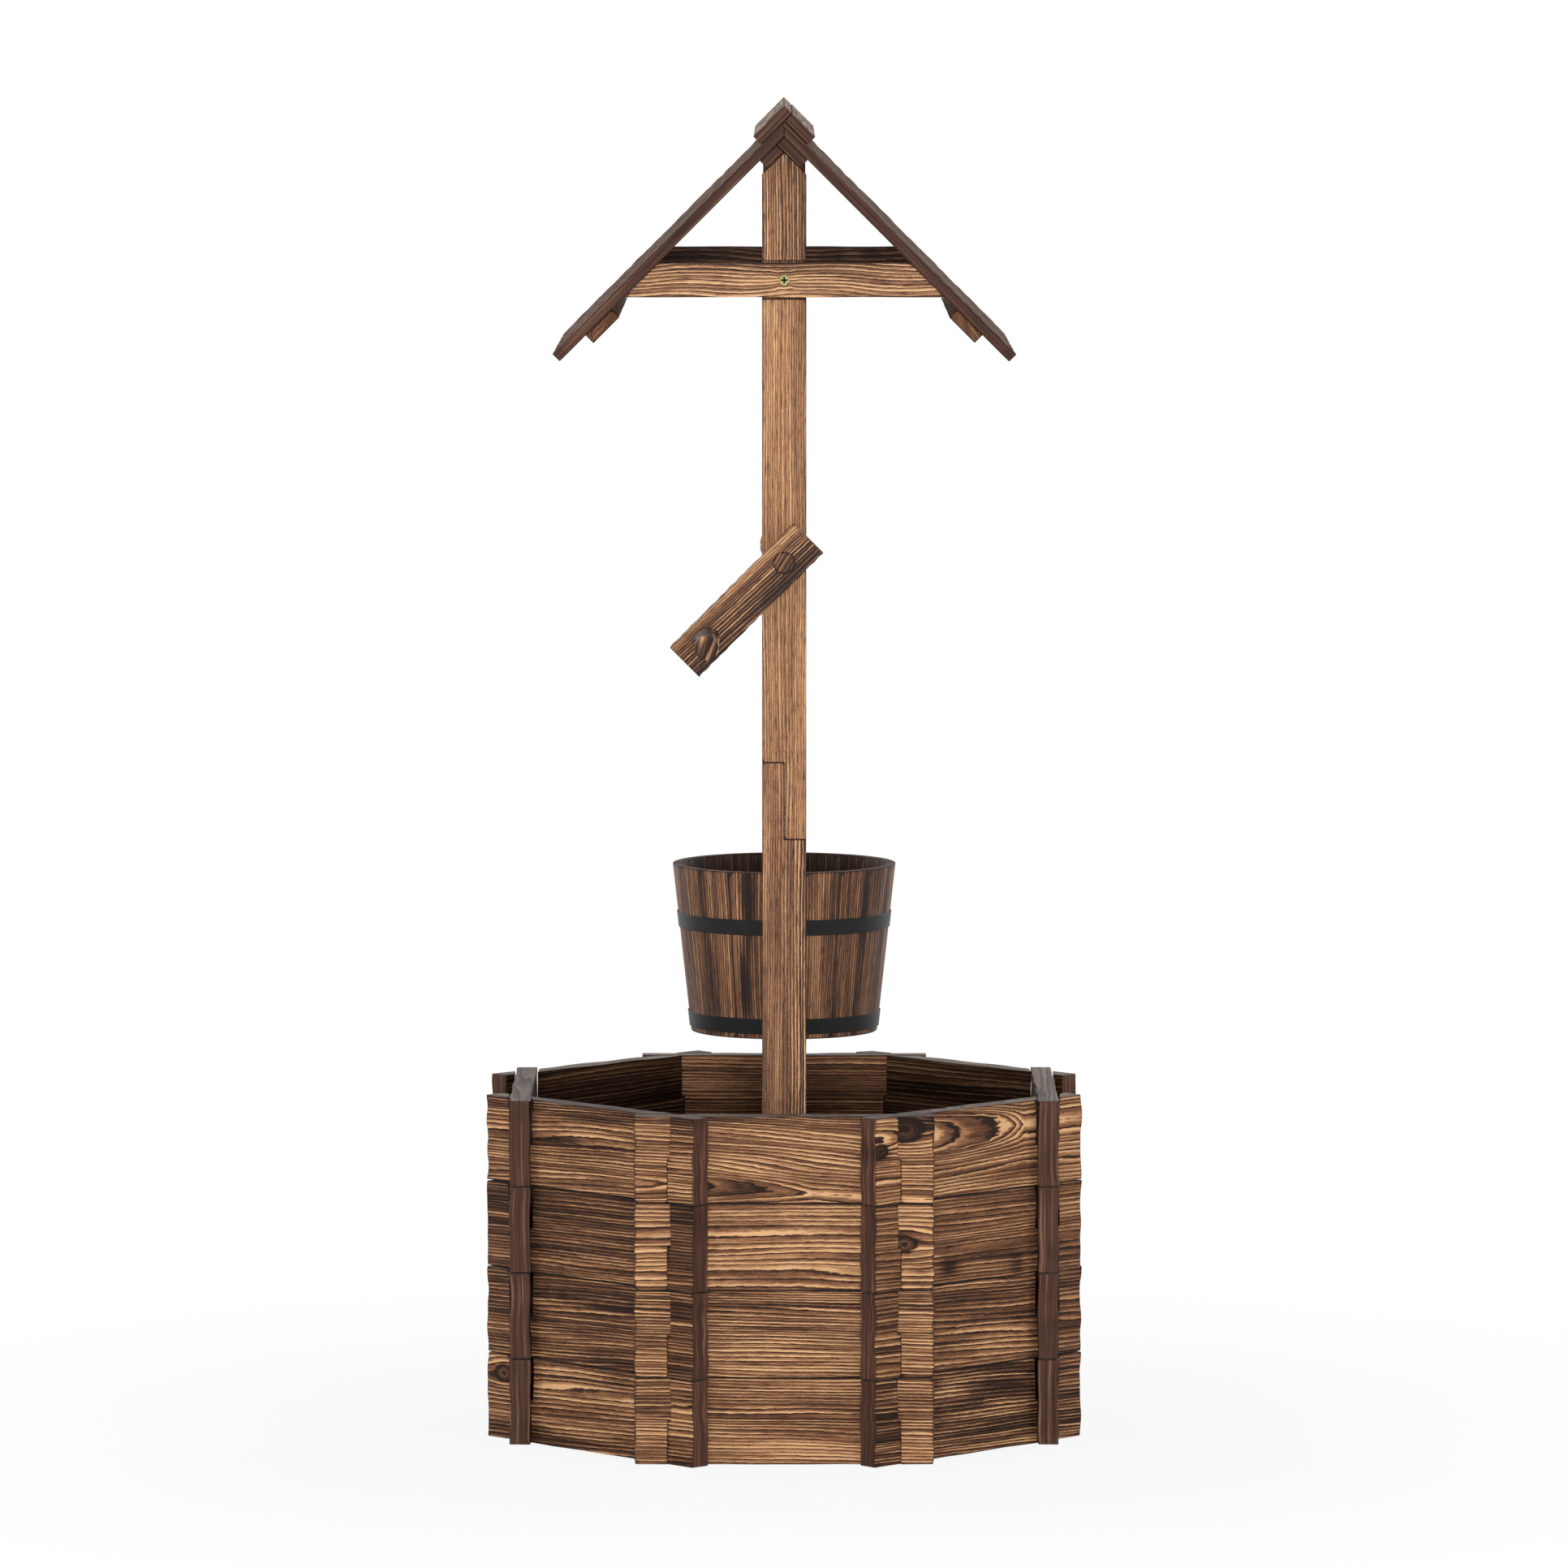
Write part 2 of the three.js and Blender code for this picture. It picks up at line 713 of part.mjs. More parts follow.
function makeRope() {
  const winding = windingPoints();
  console.log('least gap of the winding to itself, mm:', leastGap(winding, ropeRadius).toFixed(2));
  add('rope_winding', ropeTube(winding, ropeRadius, windingSides), hempRope);
  const hoist = hoistPoints(winding);
  add('hoist_rope', ropeTube(hoist, ropeRadius, ropeSides), hempRope);
  add('bucket_bail', toGeometry(bailSolid()), hempRope);
}

// Bucket: tapered staves with fine seams, a bottom in their groove, and two steel hoops
function bucketRadius(rise) {
  return bucketBaseRadius + ((bucketRimRadius - bucketBaseRadius) * rise) / bucketHeight;
}

function staveColumns() {
  const stave = (2 * Math.PI) / staveCount;
  const seam = staveSeamWidth / 2 / bucketRimRadius;
  const columns = [];
  for (let i = 0; i < staveCount; i += 1) {
    const start = i * stave;
    columns.push({ angle: start, sink: staveSeamDepth });
    columns.push({ angle: start + seam, sink: 0 });
    columns.push({ angle: start + stave / 3, sink: 0 });
    columns.push({ angle: start + (2 * stave) / 3, sink: 0 });
    columns.push({ angle: start + stave - seam, sink: 0 });
  }
  return columns;
}

function bucketPoint(rise, inset, outer) {
  return [bucketRadius(rise) - inset, bucketBottom + rise, outer];
}

function stavesSolid() {
  const low = bottomRise - touchGap;
  const high = bottomRise + bottomThickness + touchGap;
  const profile = [
    bucketPoint(0, bucketWall, false),
    bucketPoint(0, 0, true),
    bucketPoint(bucketHeight, 0, true),
    bucketPoint(bucketHeight, bucketWall, false),
    bucketPoint(high, bucketWall, false),
    bucketPoint(high, bucketWall - crozeDepth, false),
    bucketPoint(low, bucketWall - crozeDepth, false),
    bucketPoint(low, bucketWall, false),
  ];
  const reach = bucketRimRadius + overrun;
  const hole = rodAlongY(ropeRadius + bailHoleClearance, -reach, reach, 0, bailHoleHeight);
  return cut(toSolid(turned(profile, staveColumns())), [toSolid(hole)]);
}

function bottomDisc() {
  const radius = bucketRadius(bottomRise) - bucketWall + crozeDepth - touchGap;
  const disc = new THREE.CylinderGeometry(radius, radius, bottomThickness, roundSides * 2);
  disc.rotateX(Math.PI / 2);
  disc.translate(0, 0, bucketBottom + bottomRise + bottomThickness / 2);
  return disc;
}

function hoop(rise) {
  const profile = [
    bucketPoint(rise, -hoopGap, false),
    bucketPoint(rise, -hoopGap - hoopThickness, false),
    bucketPoint(rise + hoopWidth, -hoopGap - hoopThickness, false),
    bucketPoint(rise + hoopWidth, -hoopGap, false),
  ];
  return turned(profile, staveColumns());
}

function makeBucket() {
  add('bucket_staves', toGeometry(stavesSolid()), bucketWood);
  add('bucket_bottom', bottomDisc(), bucketWood);
  add('bucket_hoop_lower', hoop(lowerHoopRise), hoopSteel);
  add('bucket_hoop_upper', hoop(upperHoopRise), hoopSteel);
}

makeTub();
makeFloor();
makePosts();
makeRoof();
makeWindlass();
makeRope();
makeBucket();

export default well;
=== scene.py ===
"""Wishing well planter in charred and brushed softwood, dressed round its CAD model.

Lengths inside the functions are millimetres, seen from the front: x right, y to the rear, z up.
"""
import functools
import math
from types import SimpleNamespace

import bmesh
import bpy
import numpy as np
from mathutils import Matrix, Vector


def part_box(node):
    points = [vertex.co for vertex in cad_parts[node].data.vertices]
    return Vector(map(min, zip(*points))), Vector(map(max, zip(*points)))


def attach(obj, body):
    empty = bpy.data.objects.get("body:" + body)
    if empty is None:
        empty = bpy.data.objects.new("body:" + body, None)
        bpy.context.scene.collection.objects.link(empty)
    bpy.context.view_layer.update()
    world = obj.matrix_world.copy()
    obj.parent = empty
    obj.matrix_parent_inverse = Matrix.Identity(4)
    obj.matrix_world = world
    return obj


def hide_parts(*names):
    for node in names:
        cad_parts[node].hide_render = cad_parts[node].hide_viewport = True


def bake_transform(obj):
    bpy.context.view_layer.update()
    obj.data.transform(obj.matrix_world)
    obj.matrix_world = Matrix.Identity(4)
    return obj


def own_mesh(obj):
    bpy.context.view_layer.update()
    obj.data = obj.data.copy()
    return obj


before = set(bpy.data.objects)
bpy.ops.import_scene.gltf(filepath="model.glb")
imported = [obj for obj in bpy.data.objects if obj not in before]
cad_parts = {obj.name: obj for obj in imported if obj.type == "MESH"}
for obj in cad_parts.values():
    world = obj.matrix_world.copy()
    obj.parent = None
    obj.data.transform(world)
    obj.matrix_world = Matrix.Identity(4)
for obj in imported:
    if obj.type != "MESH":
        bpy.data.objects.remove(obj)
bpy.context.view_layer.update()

bl_info = {
    "name": "Wishing well planter",
    "version": (1, 0, 0),
    "blender": (4, 5, 0),
    "location": "View3D > Sidebar > Well",
    "description": "Builds a charred wood wishing well planter, piece by piece",
    "category": "Add Mesh",
}

MM = 0.001
TAU = 2 * math.pi
ROOT2 = math.sqrt(2)
SIDES = ("front", "front_right", "right", "rear_right", "rear", "rear_left", "left", "front_left")
HALF_TURN = {"front": 0.0, "rear": math.pi}

# Sizes of the CAD model that its nodes' boxes don't give
COURSES = 4
FLOOR_BOARDS = 5
TOUCH_GAP = 0.3  # between pieces that touch
BEARING_CLEARANCE = 0.4  # round the axle in the posts
BAR_CLEARANCE = 1.7  # above and below a crossbar in its notch
ROOF_BOARDS = 6  # on each slope
ROOF_BOARD_GAP = 0.8
ROOF_BOARD_THICK = 9.5
ROOF_BOARD_CLIP = 9.0  # corner cut off a board's lower end
BATTEN_INSET = 10.0  # from the boards' near and far edges
ARM_HALF = 18.4  # half of the crank arm's width
HANDLE_ROUNDING = 2.5
ROPE = 6.0
INNER_TURNS, INNER_PITCH = 3.0, 6.5  # of the rope's layer on the axle
OUTER_TURNS, OUTER_PITCH = 1.5, 7.9
CLIMB_TURNS = 0.5  # from layer to layer
LAYER_GAP = 0.45
LEAVE_ANGLE = math.radians(-50)  # where the rope leaves the axle, from its underside
LIFT = 130.0  # how far the bucket goes up
RIM_RADIUS, BASE_RADIUS = 101.0, 84.4  # outside of the bucket
STAVES = 18
STAVE_THICK = 8.3
CROZE_DEPTH = 2.5  # groove in the staves for the bucket's bottom
BAIL_HOLE_DROP = 16.0  # from the bucket's rim down to the middle of the holes
BAIL_RISE = 108.0  # from the holes to the knot
BAIL_BEND = 12.0  # inside the staves, before the bail rises
HOOP_FACES = (0.2, 1.0)  # a hoop's inner and outer face, off the staves

# Sizes of details that are finer here than in the CAD model
POCKET_GAP = 0.3  # round a screw's head
POCKET_DEPTH = 4.0  # from a crossbar's face
SCREW_HEAD, SCREW_SHANK, SCREW_TIP = 3.0, 20.0, 24.0  # where each ends, from the head's face
AXLE_GAP, HANDLE_GAP = 0.5, 0.2  # round them in the crank arm
LEAD_DROP = 24.0  # height in which the rope bends down from the axle
KNOT_COVER = 5.0  # from the free rope's end down to the knot's middle
STOP_KNOT = 6.5  # from the staves to the bail's end, in its stop knot
KNOT_RADIUS, KNOT_PITCH = 4.4, 4.6  # of a knot's turns
KNOT_ROPE = 5.2  # thickness of the rope in a knot
STAVE_GAP = 0.16
BAIL_HOLE_RADIUS = 4.0


def srgb(red, green, blue):
    """A colour given as 0 to 255 display values, as linear red, green and blue."""
    shares = np.array((red, green, blue)) / 255
    linear = np.where(shares <= 0.04045, shares / 12.92, ((shares + 0.055) / 1.055) ** 2.4)
    return tuple(float(x) for x in linear)


# Properties: what a user would change

def colour(name, description, red, green, blue):
    """A colour property whose default is given in display values."""
    return bpy.props.FloatVectorProperty(
        name=name, description=description, subtype="COLOR", size=3, min=0, max=1,
        default=srgb(red, green, blue))


def length(name, description, millimetres):
    """A length property whose default is given in millimetres."""
    return bpy.props.FloatProperty(
        name=name, description=description, unit="LENGTH", precision=5, min=0,
        default=millimetres * MM)


class WellSizes(bpy.types.PropertyGroup):
    """Sizes of the hand-worked surfaces that lie over the CAD shapes."""

    hollow: length("Hollow", "Deepest hollow that brushing leaves in a plank's face", 1.5)
    end_hollow: length("End hollow", "Deepest hollow in a plank's sawn end", 1.7)
    arris: length("Arris", "Width of the rounded edges of the boards", 0.7)
    grid: length("Grid", "Size of the cells that the boards are made of", 3.6)
    notch_clearance: length("Notch clearance", "Room on each side of a crossing plank", 0.6)
    rope: length("Rope", "Diameter of the rope", ROPE)
    rope_lay: length("Rope lay", "Length in which a strand goes once round the rope", 19)


class WellColours(bpy.types.PropertyGroup):
    """Colours of the finishes."""

    soot: colour("Soot", "Deepest charred grooves", 38, 26, 21)
    char: colour("Char", "Charred grain", 70, 48, 36)
    umber: colour("Umber", "Scorched wood between the lines", 121, 81, 57)
    tan: colour("Tan", "Brushed wood", 168, 122, 85)
    honey: colour("Honey", "Lightest ridges of the grain", 226, 178, 130)
    edge_dark: colour("Edge, dark", "Dark streaks of sawn ends and board edges", 50, 33, 27)
    edge_light: colour("Edge, light", "Light streaks of sawn ends and board edges", 87, 59, 48)
    edge_stripe: colour("Edge, stripe", "Lightest stripes of sawn ends", 138, 105, 82)
    rust: colour("Rust", "Scorched arrises of sawn edges", 66, 42, 30)
    hoop: colour("Hoop", "Painted steel hoops", 22, 22, 22)
    zinc: colour("Zinc", "Yellow passivated screw", 158, 152, 92)
    rope: colour("Rope", "Hemp strands", 176, 146, 104)
    floor: colour("Floor", "Studio floor", 250, 250, 250)


def size(name):
    """One of the panel's sizes, in millimetres."""
    return getattr(bpy.context.scene.well_sizes, name) / MM


# Shader expressions

class Value:
    """A shader socket that takes part in Python expressions. Each operator adds a Math node."""

    def __init__(self, paint, socket):
        self.paint = paint
        self.socket = socket

    def math(self, operation, *others, swap=False):
        terms = [self, *others]
        if swap:
            terms.reverse()
        return self.paint.node("ShaderNodeMath", {"operation": operation}, dict(enumerate(terms)))

    def __add__(self, other):
        return self.math("ADD", other)

    def __sub__(self, other):
        return self.math("SUBTRACT", other)

    def __rsub__(self, other):
        return self.math("SUBTRACT", other, swap=True)

    def __mul__(self, other):
        return self.math("MULTIPLY", other)

    def __truediv__(self, other):
        return self.math("DIVIDE", other)

    __radd__ = __add__
    __rmul__ = __mul__

    def wave(self):
        """Sine of this number of turns, from -1 to 1."""
        return (self * TAU).math("SINE")

    def least(self, other):
        return self.math("MINIMUM", other)

    def most(self, other):
        return self.math("MAXIMUM", other)

    def step(self, low, high):
        """Smooth step from 0 at low to 1 at high."""
        return self.paint.node(
            "ShaderNodeMapRange", {"interpolation_type": "SMOOTHSTEP"},
            {"Value": self, "From Min": low, "From Max": high})


class Paint:
    """The node tree of a new material or world, while it is being made."""

    def __init__(self, owner):
        owner.use_nodes = True
        self.owner = owner
        self.tree = owner.node_tree
        self.tree.nodes.clear()

    def node(self, kind, settings=None, inputs=None, output=0):
        """Adds a node: its settings first, then the values or links of its sockets."""
        made = self.tree.nodes.new(kind)
        for key, value in (settings or {}).items():
            if key == "stops":
                elements = made.color_ramp.elements
                while len(elements) < len(value):
                    elements.new(1)
                for element, (place, shade) in zip(elements, value):
                    element.position = place
                    element.color = (*shade, 1)
            else:
                setattr(made, key, value)
        for key, value in (inputs or {}).items():
            if isinstance(value, Value):
                self.tree.links.new(value.socket, made.inputs[key])
            else:
                made.inputs[key].default_value = value
        return Value(self, made.outputs[output]) if len(made.outputs) else None

    def attribute(self, name, output="Vector"):
        return self.node("ShaderNodeAttribute", {"attribute_name": name}, output=output)

    def split(self, vector):
        """The three numbers of a vector."""
        parts = self.node("ShaderNodeSeparateXYZ", inputs={0: vector})
        return [Value(self, output) for output in parts.socket.node.outputs]

    def place(self):
        """The surface's place on its object: three numbers, in metres."""
        return self.split(self.node("ShaderNodeTexCoord", output="Object"))

    def noise(self, x, y, z=0.0, detail=2.0, rough=0.5):
        """Noise from 0 to 1 whose features are one unit of x, y and z wide. A plain number as z
        only makes it a different noise."""
        place = self.node("ShaderNodeCombineXYZ", inputs={0: x, 1: y, 2: z})
        return self.node(
            "ShaderNodeTexNoise", inputs={
                "Vector": place, "Scale": 1.0, "Detail": detail, "Roughness": rough})

    def ramp(self, value, stops):
        """Colour that value picks from stops, each a value and its colour."""
        return self.node("ShaderNodeValToRGB", {"stops": stops}, {"Fac": value})

    def mix(self, share, first, second, blend="MIX"):
        """Colour that goes from first to second with share. The node keeps its colours in the
        sockets 6 and 7, and gives the result in 2."""
        colours = {key: value if isinstance(value, Value) else (*value, 1)
                   for key, value in ((6, first), (7, second))}
        return self.node(
            "ShaderNodeMix", {"data_type": "RGBA", "blend_type": blend},
            {"Factor": share, **colours}, output=2)

    def bump(self, height, depth):
        """Normal that a relief of this depth in millimetres gives."""
        return self.node("ShaderNodeBump", inputs={"Height": height, "Distance": depth * MM})

    def finish(self, **sockets):
        """Puts a Principled shader with these sockets on the surface."""
        inputs = {key.replace("_", " "): value for key, value in sockets.items()}
        self.surface(self.node("ShaderNodeBsdfPrincipled", inputs=inputs))
        return self.owner

    def surface(self, shader, output="ShaderNodeOutputMaterial"):
        self.node(output, inputs={"Surface": shader})


# Finishes

def wood_lines(paint, fibre, dashes):
    """Brightness of charred and brushed wood, from 0 in the charred grooves to 1 on the ridges,
    and its growth rings and streaks alone. The ring number comes from the grain attribute; broad
    noise crowds and spreads the rings, slower noise bends them and fine noise makes them quiver,
    each by as many rings as the factor behind it says. Each ring brightens at once after the
    dark line before it, fades, stays level and darkens to the next one. Noise has features as
    long and wide, in millimetres, as the numbers under along and across. fibre widens the
    streaks, and dashes is the darkness of short open pores."""
    along, across, ring = paint.split(paint.attribute("grain"))
    light, contrast, char = paint.split(paint.attribute("tone"))
    spacing = paint.noise(across / 24, along / 900, 2.0, detail=1.0)
    bend = paint.noise(along / 230, across / 55, detail=1.0)
    quiver = paint.noise(along / 10, across / 3.0, 8.0, detail=3.0, rough=0.6)
    turns = ring + (spacing - 0.5) * 4.4 + (bend - 0.5) * 3.0 + (quiver - 0.5) * 0.45
    place = turns.math("FRACT")
    fading = 1 - place.step(0.15, 0.60) * 0.5 - place.step(0.72, 0.95) * 0.5
    ridge = place.step(0.0, 0.12) * fading
    weight = paint.noise(turns * 0.9, along / 160, 5.0, detail=1.0).step(0.25, 0.75) * 0.75 + 0.42
    zone = paint.noise(across / 15, along / 420, 13.0, detail=2.0)
    burnt = paint.noise(across / 17, along / 230, 17.0, detail=2.0).step(0.46, 0.70)
    streak = paint.noise(along / 22, across / (0.9 * fibre), 11.0, detail=3.0, rough=0.6)
    thread = paint.noise(along / 2.0, across / (0.6 * fibre), 5.0, detail=2.0, rough=0.6)
    rings = ridge * weight
    value = ((rings - 0.43) * 0.92 + (streak - 0.5) * 0.72) * contrast + (zone - 0.5) * 0.60
    value = value + (thread - 0.5) * 0.42 + light - burnt * char
    if dashes:
        pore = paint.noise(along / 15, across / (0.8 * fibre), 23.0, detail=2.0, rough=0.6)
        value = value - (1 - pore.step(0.34, 0.50)) * dashes
    return value, rings, streak


def knot_mask(paint):
    """A knot, from the knot attribute: 1 inside its radius, the darkness of its outline, and its
    own brightness, with rings round a dark heart."""
    right, up, radius = paint.split(paint.attribute("knot"))
    ragged = paint.noise(right / 2.5, up / 2.5, 2.0)
    distance = (right * right + up * up).math("SQRT") / radius + (ragged - 0.5) * 0.35
    body = 1 - distance.step(0.85, 1.05)
    rim = 1 - (distance - 1.0).math("ABSOLUTE").step(0.05, 0.32)
    light, _, _ = paint.split(paint.attribute("tone"))
    inner = (distance * 2.6 + 0.1).wave() * 0.12 + 0.30 - (1 - distance.step(0.1, 0.45)) * 0.25
    return body, rim, inner + (ragged - 0.5) * 0.5 + (light - 0.45).least(0.0) * 0.6


def charred_wood(colours, name, fibre=1.0, relief=0.25, gloss=0.25, dashes=0.0, weathering=0.0,
                 calm=0.0, shade=1.0):
    """Brushed wood whose grooves stay charred: lines, knots and darker arrises. weathering is
    the share of grey in it: weathered grey, partly a painted sheen of faces seen edge-on.
    calm is how even that grey is, and shade darkens the whole as painted shade."""
    paint = Paint(bpy.data.materials.new(name))
    value, rings, streak = wood_lines(paint, fibre, dashes)
    edge = paint.attribute("edge", "Fac")
    body, rim, inner = knot_mask(paint)
    value = value + (inner - value) * body - rim * 0.5 - (1 - edge.step(0.1, 0.8)) * 0.42
    tint = paint.ramp(value, [(0.0, colours.soot), (0.22, colours.char), (0.47, colours.umber),
                              (0.70, colours.tan), (1.0, colours.honey)])
    # Grey of weathering, partly a painted sheen of faces seen edge-on
    if weathering:
        level = value * (1 - calm) + 0.2 * calm
        grey = paint.ramp(level, [(0.0, srgb(58, 52, 49)), (0.5, srgb(118, 110, 104)),
                                  (1.0, srgb(188, 178, 166))])
        tint = paint.mix(weathering, tint, grey)
    # Painted shade: a shade below 1 darkens the whole colour
    if shade < 1:
        tint = paint.mix(1.0, tint, (shade,) * 3, blend="MULTIPLY")
    return paint.finish(
        Base_Color=tint, Roughness=0.74 - value * 0.12, Specular_IOR_Level=gloss,
        Normal=paint.bump(rings * 0.8 + streak * 0.5, relief))


def sawn_edge(name, colours):
    """Sawn ends and long edges: purple-brown with faint streaks along the grain and rusty
    arrises."""
    paint = Paint(bpy.data.materials.new(name))
    along, across, _ = paint.split(paint.attribute("streak"))
    light, _, _ = paint.split(paint.attribute("tone"))
    edge = paint.attribute("edge", "Fac")
    broad = paint.noise(along / 130, across / 2.7, 4.0, detail=2.0, rough=0.55)
    fine = paint.noise(along / 40, across / 0.8, 9.0, detail=2.0)
    value = (broad - 0.5) * 2.0 + (fine - 0.5) * 0.7 + 0.12 + light * 0.7
    tint = paint.ramp(value, [(0.0, colours.edge_dark), (0.6, colours.edge_light),
                              (1.0, colours.edge_stripe)])
    tint = paint.mix((1 - edge.step(0.1, 0.8)) * 0.6, tint, colours.rust)
    return paint.finish(
        Base_Color=tint, Roughness=0.6, Specular_IOR_Level=0.1,
        Normal=paint.bump(broad + fine * 0.3, 0.12))


def painted_steel(name, shade):
    """Satin black paint on steel: faint dusty clouds in its colour and gloss, and fine grit."""
    paint = Paint(bpy.data.materials.new(name))
    x, y, z = paint.place()
    cloud = paint.noise(x * 60, y * 60, z * 60, detail=3.0)
    grit = paint.noise(x * 900, y * 900, z * 900, detail=1.0)
    tint = paint.mix(cloud.step(0.45, 0.8) * 0.15, shade, srgb(60, 58, 56))
    return paint.finish(
        Base_Color=tint, Roughness=cloud * 0.18 + 0.42, Specular_IOR_Level=0.18,
        Normal=paint.bump(grit, 0.02))


def yellow_zinc(name, shade):
    """Yellow passivated zinc with a cloudy tint, and painted shade in the cross recess, where
    the sunk attribute is above 0.
    """
    paint = Paint(bpy.data.materials.new(name))
    x, y, z = paint.place()
    cloud = paint.noise(x * 700, y * 700, z * 700, detail=2.0)
    tint = paint.mix(cloud.step(0.35, 0.65), shade, srgb(126, 118, 68))
    sunk = paint.attribute("sunk", "Fac")
    # Painted shade: the cross recess darkens where sunk is above 0
    tint = paint.mix(sunk.step(0.0, 0.4), tint, srgb(14, 12, 6))
    return paint.finish(
        Base_Color=tint, Metallic=0.1, Roughness=cloud * 0.2 + 0.34 + sunk * 0.4,
        Specular_IOR_Level=0.25)


def hemp(name, shade):
    """Twisted hemp: fine fibres that run with the strands, and grooves between them darkened as
    painted shade.
    """
    paint = Paint(bpy.data.materials.new(name))
    along, round_, groove = paint.split(paint.attribute("lay"))
    fibre = paint.noise(along / 5, round_ * 9, 1.0, detail=2.0)
    fuzz = paint.noise(along / 0.8, round_ * 2, 6.0, detail=1.0)
    # Painted shade: value falls in the grooves between the strands
    value = groove * 0.65 + (fibre - 0.5) * 0.7 + (fuzz - 0.5) * 0.25 + 0.1
    tint = paint.ramp(value, [(0.0, srgb(66, 48, 32)), (0.55, shade), (1.0, srgb(214, 190, 150))])
    return paint.finish(
        Base_Color=tint, Roughness=0.9, Normal=paint.bump(fibre + fuzz * 0.4, 0.12))


@functools.cache
def finishes():
    """The materials by name, made at the first call and shared by the pieces. face and inside
    are for the faces of planks, inside darkened as painted shade for inner faces and also for
    the caps' undersides; end is for sawn ends and edges, and the tops for weathered ones,
    their grey partly a painted sheen."""
    colours = bpy.context.scene.well_colours
    wood = functools.partial(charred_wood, colours)
    return SimpleNamespace(
        face=wood("charred_face", gloss=0.12, dashes=0.16),
        # Painted shade: the face finish darkened, for the tub's inner faces and the caps'
        # undersides
        inside=wood("charred_inside", gloss=0.05, dashes=0.16, shade=0.24),
        post=wood("charred_post", fibre=0.85, relief=0.16, dashes=0.34),
        bucket=wood("charred_bucket", fibre=0.8, relief=0.14, dashes=0.30),
        end=sawn_edge("sawn_end", colours),
        # The tops' grey is partly painted sheen, on faces seen edge-on
        top=wood("open_edge", relief=0.10, weathering=0.85, calm=0.6),
        roof_top=wood("open_roof", relief=0.03, gloss=0.04, weathering=0.15),
        cap_top=wood("open_cap", relief=0.03, gloss=0.04, weathering=0.7, calm=0.1),
        hoop=painted_steel("painted_hoop", colours.hoop),
        zinc=yellow_zinc("yellow_zinc", colours.zinc),
        rope=hemp("hemp_rope", colours.rope))


# Shapes as whole arrays

def cad_box(node):
    """A CAD node's lowest and highest corner."""
    low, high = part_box(node)
    return np.array(low) / MM, np.array(high) / MM


def axle_line():
    """The axle's radius and the height of its middle."""
    low, high = cad_box("axle")
    return high[0], (low[2] + high[2]) / 2


def spaced(breaks, step):
    """Numbers from the first break to the last, about step apart, that hold every break."""
    parts = [np.linspace(a, b, max(1, round((b - a) / step)) + 1)[:-1]
             for a, b in zip(breaks, breaks[1:])]
    return np.append(np.concatenate(parts), breaks[-1])


def ripple(seed, coordinates, wavelengths, waves=7):
    """Smooth random field from 0 to 1: a sum of plane waves with seeded directions and phases,
    pressed into that range by a hyperbolic tangent."""
    rng = np.random.default_rng(seed)
    total = 0
    for _ in range(waves):
        turn = rng.uniform(0, TAU)
        for coordinate, wavelength in zip(coordinates, wavelengths):
            slant = rng.uniform(0.5, 1.5) * rng.choice((-1, 1))
            turn = turn + coordinate * slant * TAU / wavelength
        total = total + np.sin(turn)
    return 0.5 + 0.5 * np.tanh(total / math.sqrt(waves))


class Block:
    """Surface of a solid made of the cells of a bent grid. u, v and w hold its points' places on
    the straight grid, quads its faces, axis the direction, 0, 1 or 2, that each face looks in,
    and sign the way, 1 or -1."""

    def __init__(self, us, vs, ws, empty=(), closed=False):
        """us, vs and ws are the grid's lines. A cell whose middle lies in a box of empty, given
        as three pairs, is left out. closed joins the last of us to the first."""
        middles = [(line[1:] + line[:-1]) / 2 for line in (us, vs, ws)]
        cells = np.meshgrid(*middles, indexing="ij")
        filled = np.ones(cells[0].shape, bool)
        for box in empty:
            inside = [(c > low) & (c < high) for c, (low, high) in zip(cells, box)]
            filled &= ~(inside[0] & inside[1] & inside[2])
        if closed:
            us = us[:-1]
        lines = np.meshgrid(us, vs, ws, indexing="ij")
        index = np.arange(lines[0].size).reshape(lines[0].shape)
        if closed:
            index = np.concatenate([index, index[:1]])
        quads, axes, signs = [], [], []
        for axis in range(3):
            order = (axis, (axis + 1) % 3, (axis + 2) % 3)
            here, ids = filled.transpose(order), index.transpose(order)
            none = np.zeros_like(here[:1])
            ring = closed and axis == 0
            behind = np.concatenate([here[-1:] if ring else none, here])
            ahead = np.concatenate([here, here[:1] if ring else none])
            if ring:
                behind, ahead = behind[:-1], ahead[:-1]
            for faces, sign in ((behind & ~ahead, 1), (~behind & ahead, -1)):
                i, j, k = np.nonzero(faces)
                quad = np.stack([ids[i, j, k], ids[i, j + 1, k],
                                 ids[i, j + 1, k + 1], ids[i, j, k + 1]], axis=1)
                quads.append(quad[:, ::sign])
                axes.append(np.full(len(i), axis))
                signs.append(np.full(len(i), sign))
        used, quads = np.unique(np.concatenate(quads), return_inverse=True)
        self.quads = quads.reshape(-1, 4)
        self.axis = np.concatenate(axes)
        self.sign = np.concatenate(signs)
        self.u, self.v, self.w = (line.ravel()[used] for line in lines)

    def edge(self):
        """Distance of each point from the nearest arris, as far as the next line of the grid: 0
        where faces meet that look different ways, 3 elsewhere."""
        meets = np.zeros((len(self.u), 6), bool)
        for corner in self.quads.T:
            meets[corner, 2 * self.axis + (self.sign > 0)] = True
        return np.where(meets.sum(axis=1) > 1, 0.0, 3.0)


